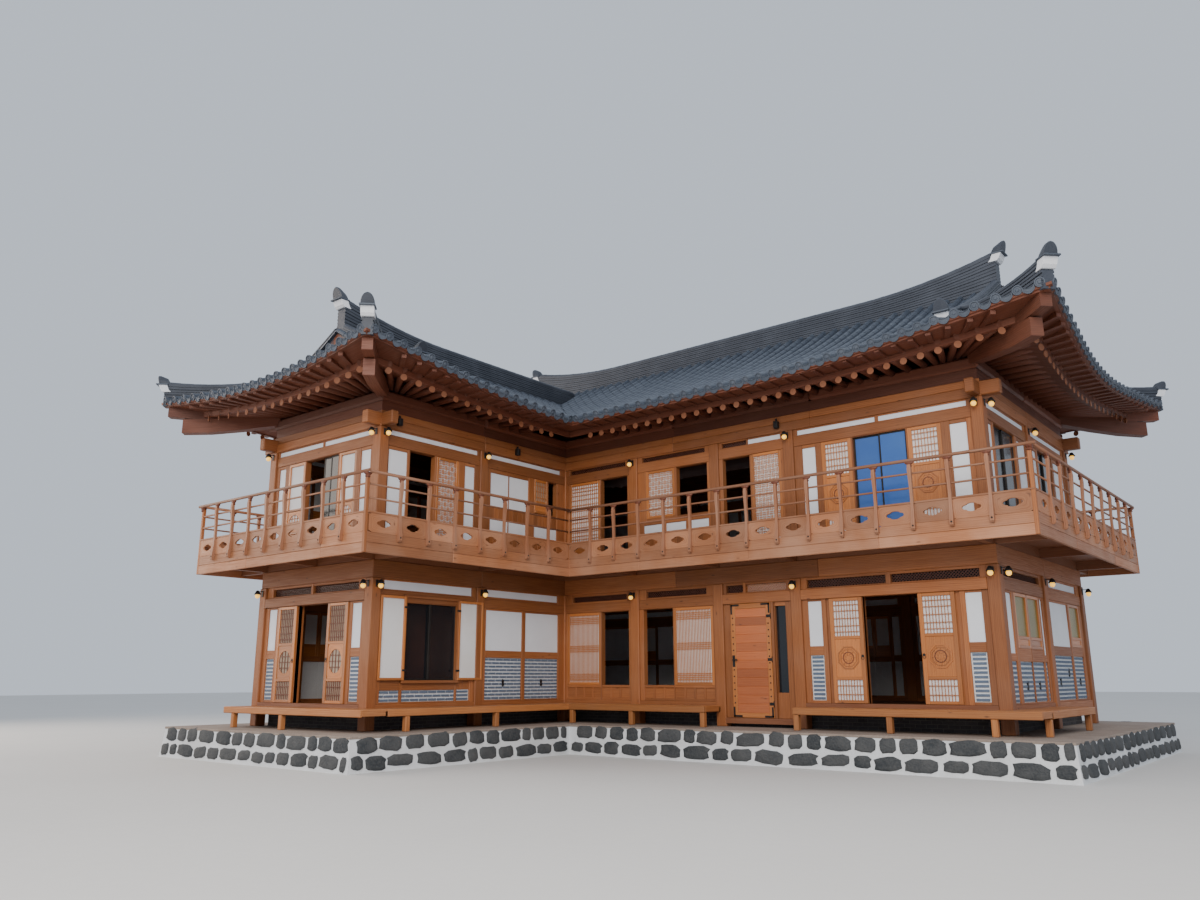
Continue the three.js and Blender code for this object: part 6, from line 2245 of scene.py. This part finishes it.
def stone_shape(kind: int) -> Callable[[Joinery], None]:
    """Makes a shape for a scatter: one irregular rounded stone face.

    Args:
        kind: number of the shape.

    Returns:
        A function that draws it.
    """
    def draw(mould: Joinery) -> None:
        """Draws the stone.

        Args:
            mould: collects the shape.
        """
        rng = np.random.default_rng(kind + 7)
        angles = np.linspace(0, 2 * math.pi, 12, endpoint=False) + rng.uniform(-0.12, 0.12, 12)
        c, s = np.cos(angles), np.sin(angles)
        radius = rng.uniform(0.88, 1.04, 12) / (np.abs(c) ** 5 + np.abs(s) ** 5) ** 0.2 * 0.5
        rings = []
        for depth, grow in ((-1, 0.98), (0, 1.0), (0.55, 0.93), (0.9, 0.74), (1.0, 0.35)):
            reach = radius * grow * (1 + rng.uniform(-0.04, 0.04, 12))
            rings.append(np.column_stack([c * reach, s * reach, np.full(12, depth)]))
        mould.loft(rings, Finish.STONE, smooth=True)

    return draw


@dataclass(frozen=True)
class DeckRun:
    """One stretch of a deck along a face, with the places of its legs."""

    side: Side
    u: Span
    reach: float
    legs: tuple[float, ...]


@dataclass
class Base:
    """Stone platform, decks and the low walls under the floor."""

    shapes: int = 4
    stone: Span = (0.26, 0.66)
    joint: Span = (0.03, 0.07)
    jitter: float = 0.015
    tilt: float = 0.09
    plank: float = 0.15
    leg: float = 0.11

    def __post_init__(self) -> None:
        """Starts the stone shapes."""
        self.stones = [Scatter(f"platform_stones_{k}", Finish.STONE, stone_shape(k)) for k in range(self.shapes)]

    @staticmethod
    def plan(reach: float, z: float) -> Vec:
        """Lays out the L-shaped outline of the house.

        Args:
            reach: how far it is grown outwards.
            z: its height.

        Returns:
            Its corners.
        """
        x0, x1, y0, y1 = -WING_WIDTH - reach, MAIN_LENGTH + reach, -WING_LENGTH - reach, MAIN_WIDTH + reach
        corners = ((x0, y0), (reach, y0), (reach, -reach), (x1, -reach), (x1, y1), (x0, y1))
        return np.array([[x, y, z] for x, y in corners]) + SHIFT

    def platform(self) -> None:
        """Builds the battered mortar face with its two rows of stones and the paved top."""
        piece = Joinery("platform_mortar")
        for rings, finish in ((((1.325, 0), (1.285, 0.3), (1.262, 0.585)), Finish.MORTAR),
                              (((1.268, 0.585), (1.268, 0.622), (1.26, PLATFORM_TOP)), Finish.PAVING)):
            piece.loft([self.plan(*ring) for ring in rings], finish)
        piece.deliver(Slot.STONE, "stone_platform")
        for side in FACES:
            start = 1.35 if side is FRONT else -1.27
            end = side.length + (-1.35 if side is WING_SIDE else 1.27)
            for row, level, tall, least, most in ((0, 0.165, 0.25, 0.8, 1.08), (1, 0.478, 0.29, 0.9, 1.0)):
                u = start + 0.02 + 0.12 * row
                while u < end - 0.12:
                    wide = min(RNG.uniform(*self.stone), end - u - 0.02)
                    high = tall * RNG.uniform(least, most)
                    z = level + RNG.uniform(-self.jitter, self.jitter)
                    tilt = RNG.uniform(-self.tilt, self.tilt)
                    along = side.along * math.cos(tilt) + UP * math.sin(tilt)
                    place = side.at(u + wide / 2, 1.321 - z * 0.107, z)
                    self.stones[RNG.integers(self.shapes)].set(place, along, side.out + UP * 0.1, (wide, high, 0.035))
                    u += wide + RNG.uniform(*self.joint)
        for scatter in self.stones:
            scatter.deliver(Slot.STONE)

    def stretch(self, piece: Joinery, run: DeckRun) -> None:
        """Builds one stretch of a deck.

        Args:
            piece: collects the mesh.
            run: the stretch.
        """
        def board(u: Span, d: Span, z: Span, chamfer: float = 0.006) -> None:
            """Adds one board."""
            piece.board(run.side, u, d, z, Finish.DECK, chamfer)

        reach, under = run.reach, run.reach - 0.057
        board(run.u, (reach - 0.055, reach), (0.925, DECK_TOP - 0.002), 0.01)
        board(run.u, (0.003, 0.058), (0.94, 1.03))
        for end in (run.u[0], run.u[1] - 0.05):
            board((end, end + 0.05), (0.0, reach - 0.056), (0.94, DECK_TOP - 0.003))
        for a, b in parts(run.u, round((run.u[1] - run.u[0]) / self.plank)):
            board((a, b - 0.003), (0.004, under), (1.028, DECK_TOP), 0.003)
        for u in run.legs:
            board((u, u + self.leg), (reach - 0.12, reach - 0.01), (PLATFORM_TOP, 0.926), 0.01)
            board((u, u + self.leg), (0.004, under), (0.93, 1.026))

    def deck(self, node: str, *runs: DeckRun) -> None:
        """Builds a plank deck on short legs.

        Args:
            node: CAD node that it replaces.
            runs: its stretches.
        """
        piece = Joinery(node + "_work")
        for run in runs:
            self.stretch(piece, run)
        piece.deliver(Slot.TIMBER, node)

    def build(self) -> None:
        """Builds everything under the ground floor."""
        self.platform()
        self.deck("deck_left", DeckRun(WING_FRONT, (0, WING_WIDTH + 0.70), 0.65, (0.30, 2.10)),
                  DeckRun(WING_SIDE, (0.002, WING_LENGTH), 0.70, (0.45, 2.9)),
                  DeckRun(FRONT, (0.70, 4.45), 0.65, (0.72, 2.45, 4.33)))
        self.deck("deck_right", DeckRun(FRONT, (6.50, MAIN_LENGTH + 0.65), 0.65, (6.51, 8.40, 10.27)),
                  DeckRun(RIGHT, (0.002, 3.0), 0.65, (-0.12, 2.6)))
        for node, finish in (("underfloor_wall", Finish.DARK_BRICK), ("ground_floor", Finish.PLANKS),
                             ("upper_floor", Finish.PLANKS)):
            mesh = frame["nodes"][node].data
            mesh.materials.clear()
            mesh.materials.append(material(finish))


LAMP_POSTS = ((WING_FRONT, 0.12), (WING_FRONT, 3.98), (WING_SIDE, 0.12), (WING_SIDE, 3.04), (FRONT, 2.16),
              (FRONT, 6.35), (FRONT, 10.35), (RIGHT, 0.12), (RIGHT, 3.0), (RIGHT, 6.0))
LAMP_CAP = ((0.125, 0.002), (0.115, 0.03), (0.07, 0.055), (0.035, 0.078), (0.03, 0.074), (0.05, 0.02))
LAMP_GLOBE = ((0.05, 0.006), (0.035, 0.040), (0.0, 0.055), (-0.035, 0.046), (-0.055, 0.018), (-0.058, 0.004))


@dataclass
class Lamps:
    """Small wall lamps on the posts: black cap over a lit globe."""

    reach: float = 0.13
    levels: tuple[float, float] = (3.47, 6.66)

    def build(self) -> None:
        """Builds all lamps as one piece."""
        piece = Joinery("wall_lamps")

        def plate(side: Side, u: Span, d: Span, z: Span, chamfer: float) -> None:
            """Adds one iron block, by its middle and half width along the face."""
            piece.board(side, (u[0] - u[1], u[0] + u[1]), d, z, Finish.IRON, chamfer)

        for side, u in LAMP_POSTS:
            for z in self.levels:
                plate(side, (u, 0.03), (0.0, 0.014), (z - 0.02, z + 0.12), 0.004)
                plate(side, (u, 0.007), (0.01, self.reach), (z + 0.093, z + 0.107), 0.003)
                for profile, finish in ((LAMP_CAP, Finish.IRON), (LAMP_GLOBE, Finish.GLOW)):
                    piece.loft(turned(profile, 12) + side.at(u, self.reach, z), finish, smooth=True)
        for side, u in ((WING_SIDE, 0.48), (WING_SIDE, 4.1), (FRONT, 6.12)):
            plate(side, (u, 0.05), (-0.02, 0.09), (6.90, 7.06), 0.012)
            plate(side, (u, 0.012), (0.0, 0.05), (7.06, 7.12), 0.003)
        piece.deliver(Slot.DARK)


@dataclass
class Studio:
    """Pale floor, soft lights and the camera at the photograph's angle."""

    place: tuple[float, float, float] = (12.6025, -18.048, 1.611)
    turn: tuple[float, float, float] = (math.pi / 2 + 0.2367, 0.0028, 0.6854)
    lens: float = 28.51
    floor_size: float = 220.0
    target: tuple[float, float, float] = (0.0, 0.0, 4.0)

    @staticmethod
    def stand(name: str, data: bpy.types.ID, place: Sequence[float], turn: Sequence[float]) -> bpy.types.Object:
        """Stands a camera, light or mesh in the scene.

        Args:
            name: its name.
            data: its data.
            place: its location.
            turn: its rotation in radians.

        Returns:
            The object.
        """
        made = placed(name, data)
        made.location, made.rotation_euler = place, turn
        return made

    def camera(self) -> None:
        """Sets the camera."""
        data = bpy.data.cameras.new("camera")
        data.lens, data.sensor_width, data.clip_end = self.lens, 36.0, 400.0
        bpy.context.scene.camera = self.stand("camera", data, self.place, self.turn)

    def light(self, name: str, place: Sequence[float], size: float, power: float, colour: Colour) -> None:
        """Hangs a soft square light that points at the middle of the house.

        Args:
            name: its name.
            place: where it hangs.
            size: length of its edge.
            power: watts.
            colour: its colour.
        """
        data = bpy.data.lights.new(name, "AREA")
        data.shape, data.size, data.energy, data.color = "SQUARE", size, power, colour
        x, y, z = np.subtract(self.target, place)
        turn = (math.atan2(z, math.hypot(x, y)) + math.pi / 2, 0, math.atan2(y, x) - math.pi / 2)
        self.stand(name, data, place, turn)

    def floor(self) -> None:
        """Lays the pale floor."""
        half = self.floor_size / 2
        mesh = bpy.data.meshes.new("studio_floor")
        mesh.from_pydata([(-half, -half, 0), (half, -half, 0), (half, half, 0), (-half, half, 0)], [], [(0, 1, 2, 3)])
        mesh.materials.append(material(Finish.FLOOR))
        self.stand("studio_floor", mesh, (0, 0, 0), (0, 0, 0))

    def sky(self) -> None:
        """Lights the scene from all round with a pale sky."""
        world = bpy.data.worlds.new("studio")
        world.use_nodes = True
        colour, strength = world.node_tree.nodes["Background"].inputs[:2]
        colour.default_value, strength.default_value = (0.80, 0.88, 1.0, 1), 0.80
        bpy.context.scene.world = world

    def build(self) -> None:
        """Sets up the whole studio."""
        self.camera()
        self.floor()
        self.sky()
        self.light("key", (16, -26, 17), 16, 7600, (1.0, 0.93, 0.85))
        self.light("fill", (-24, -14, 12), 18, 3800, (1.0, 0.86, 0.72))
        LOG.info("studio: camera, floor and lights")


def main() -> None:
    """Builds the house piece by piece."""
    Studio().build()
    Walls().build()
    WideBay("wing_front", "wing", WING_FRONT, (0.24, 3.86), ((0.37, 0.68), (3.42, 3.73)), ((0.48, 1.93), (2.0, 3.6)),
            WING_LEAF).build()
    WideBay("hall", "hall", FRONT, (6.47, 10.23), ((6.60, 6.90), (9.80, 10.10)), ((6.6, 8.3), (8.4, 10.1)),
            HALL_LEAF).build()
    Entrance().build()
    for scatter, slot in ((BRICKS, Slot.PLASTER), (BARS, Slot.DOOR), (DARK_BARS, Slot.DARK)):
        scatter.deliver(slot)
    for assembly in (Roofs(), Ridges(), Balcony(), Beams(), Base(), Lamps()):
        assembly.build()


if __name__ == "__main__":
    main()
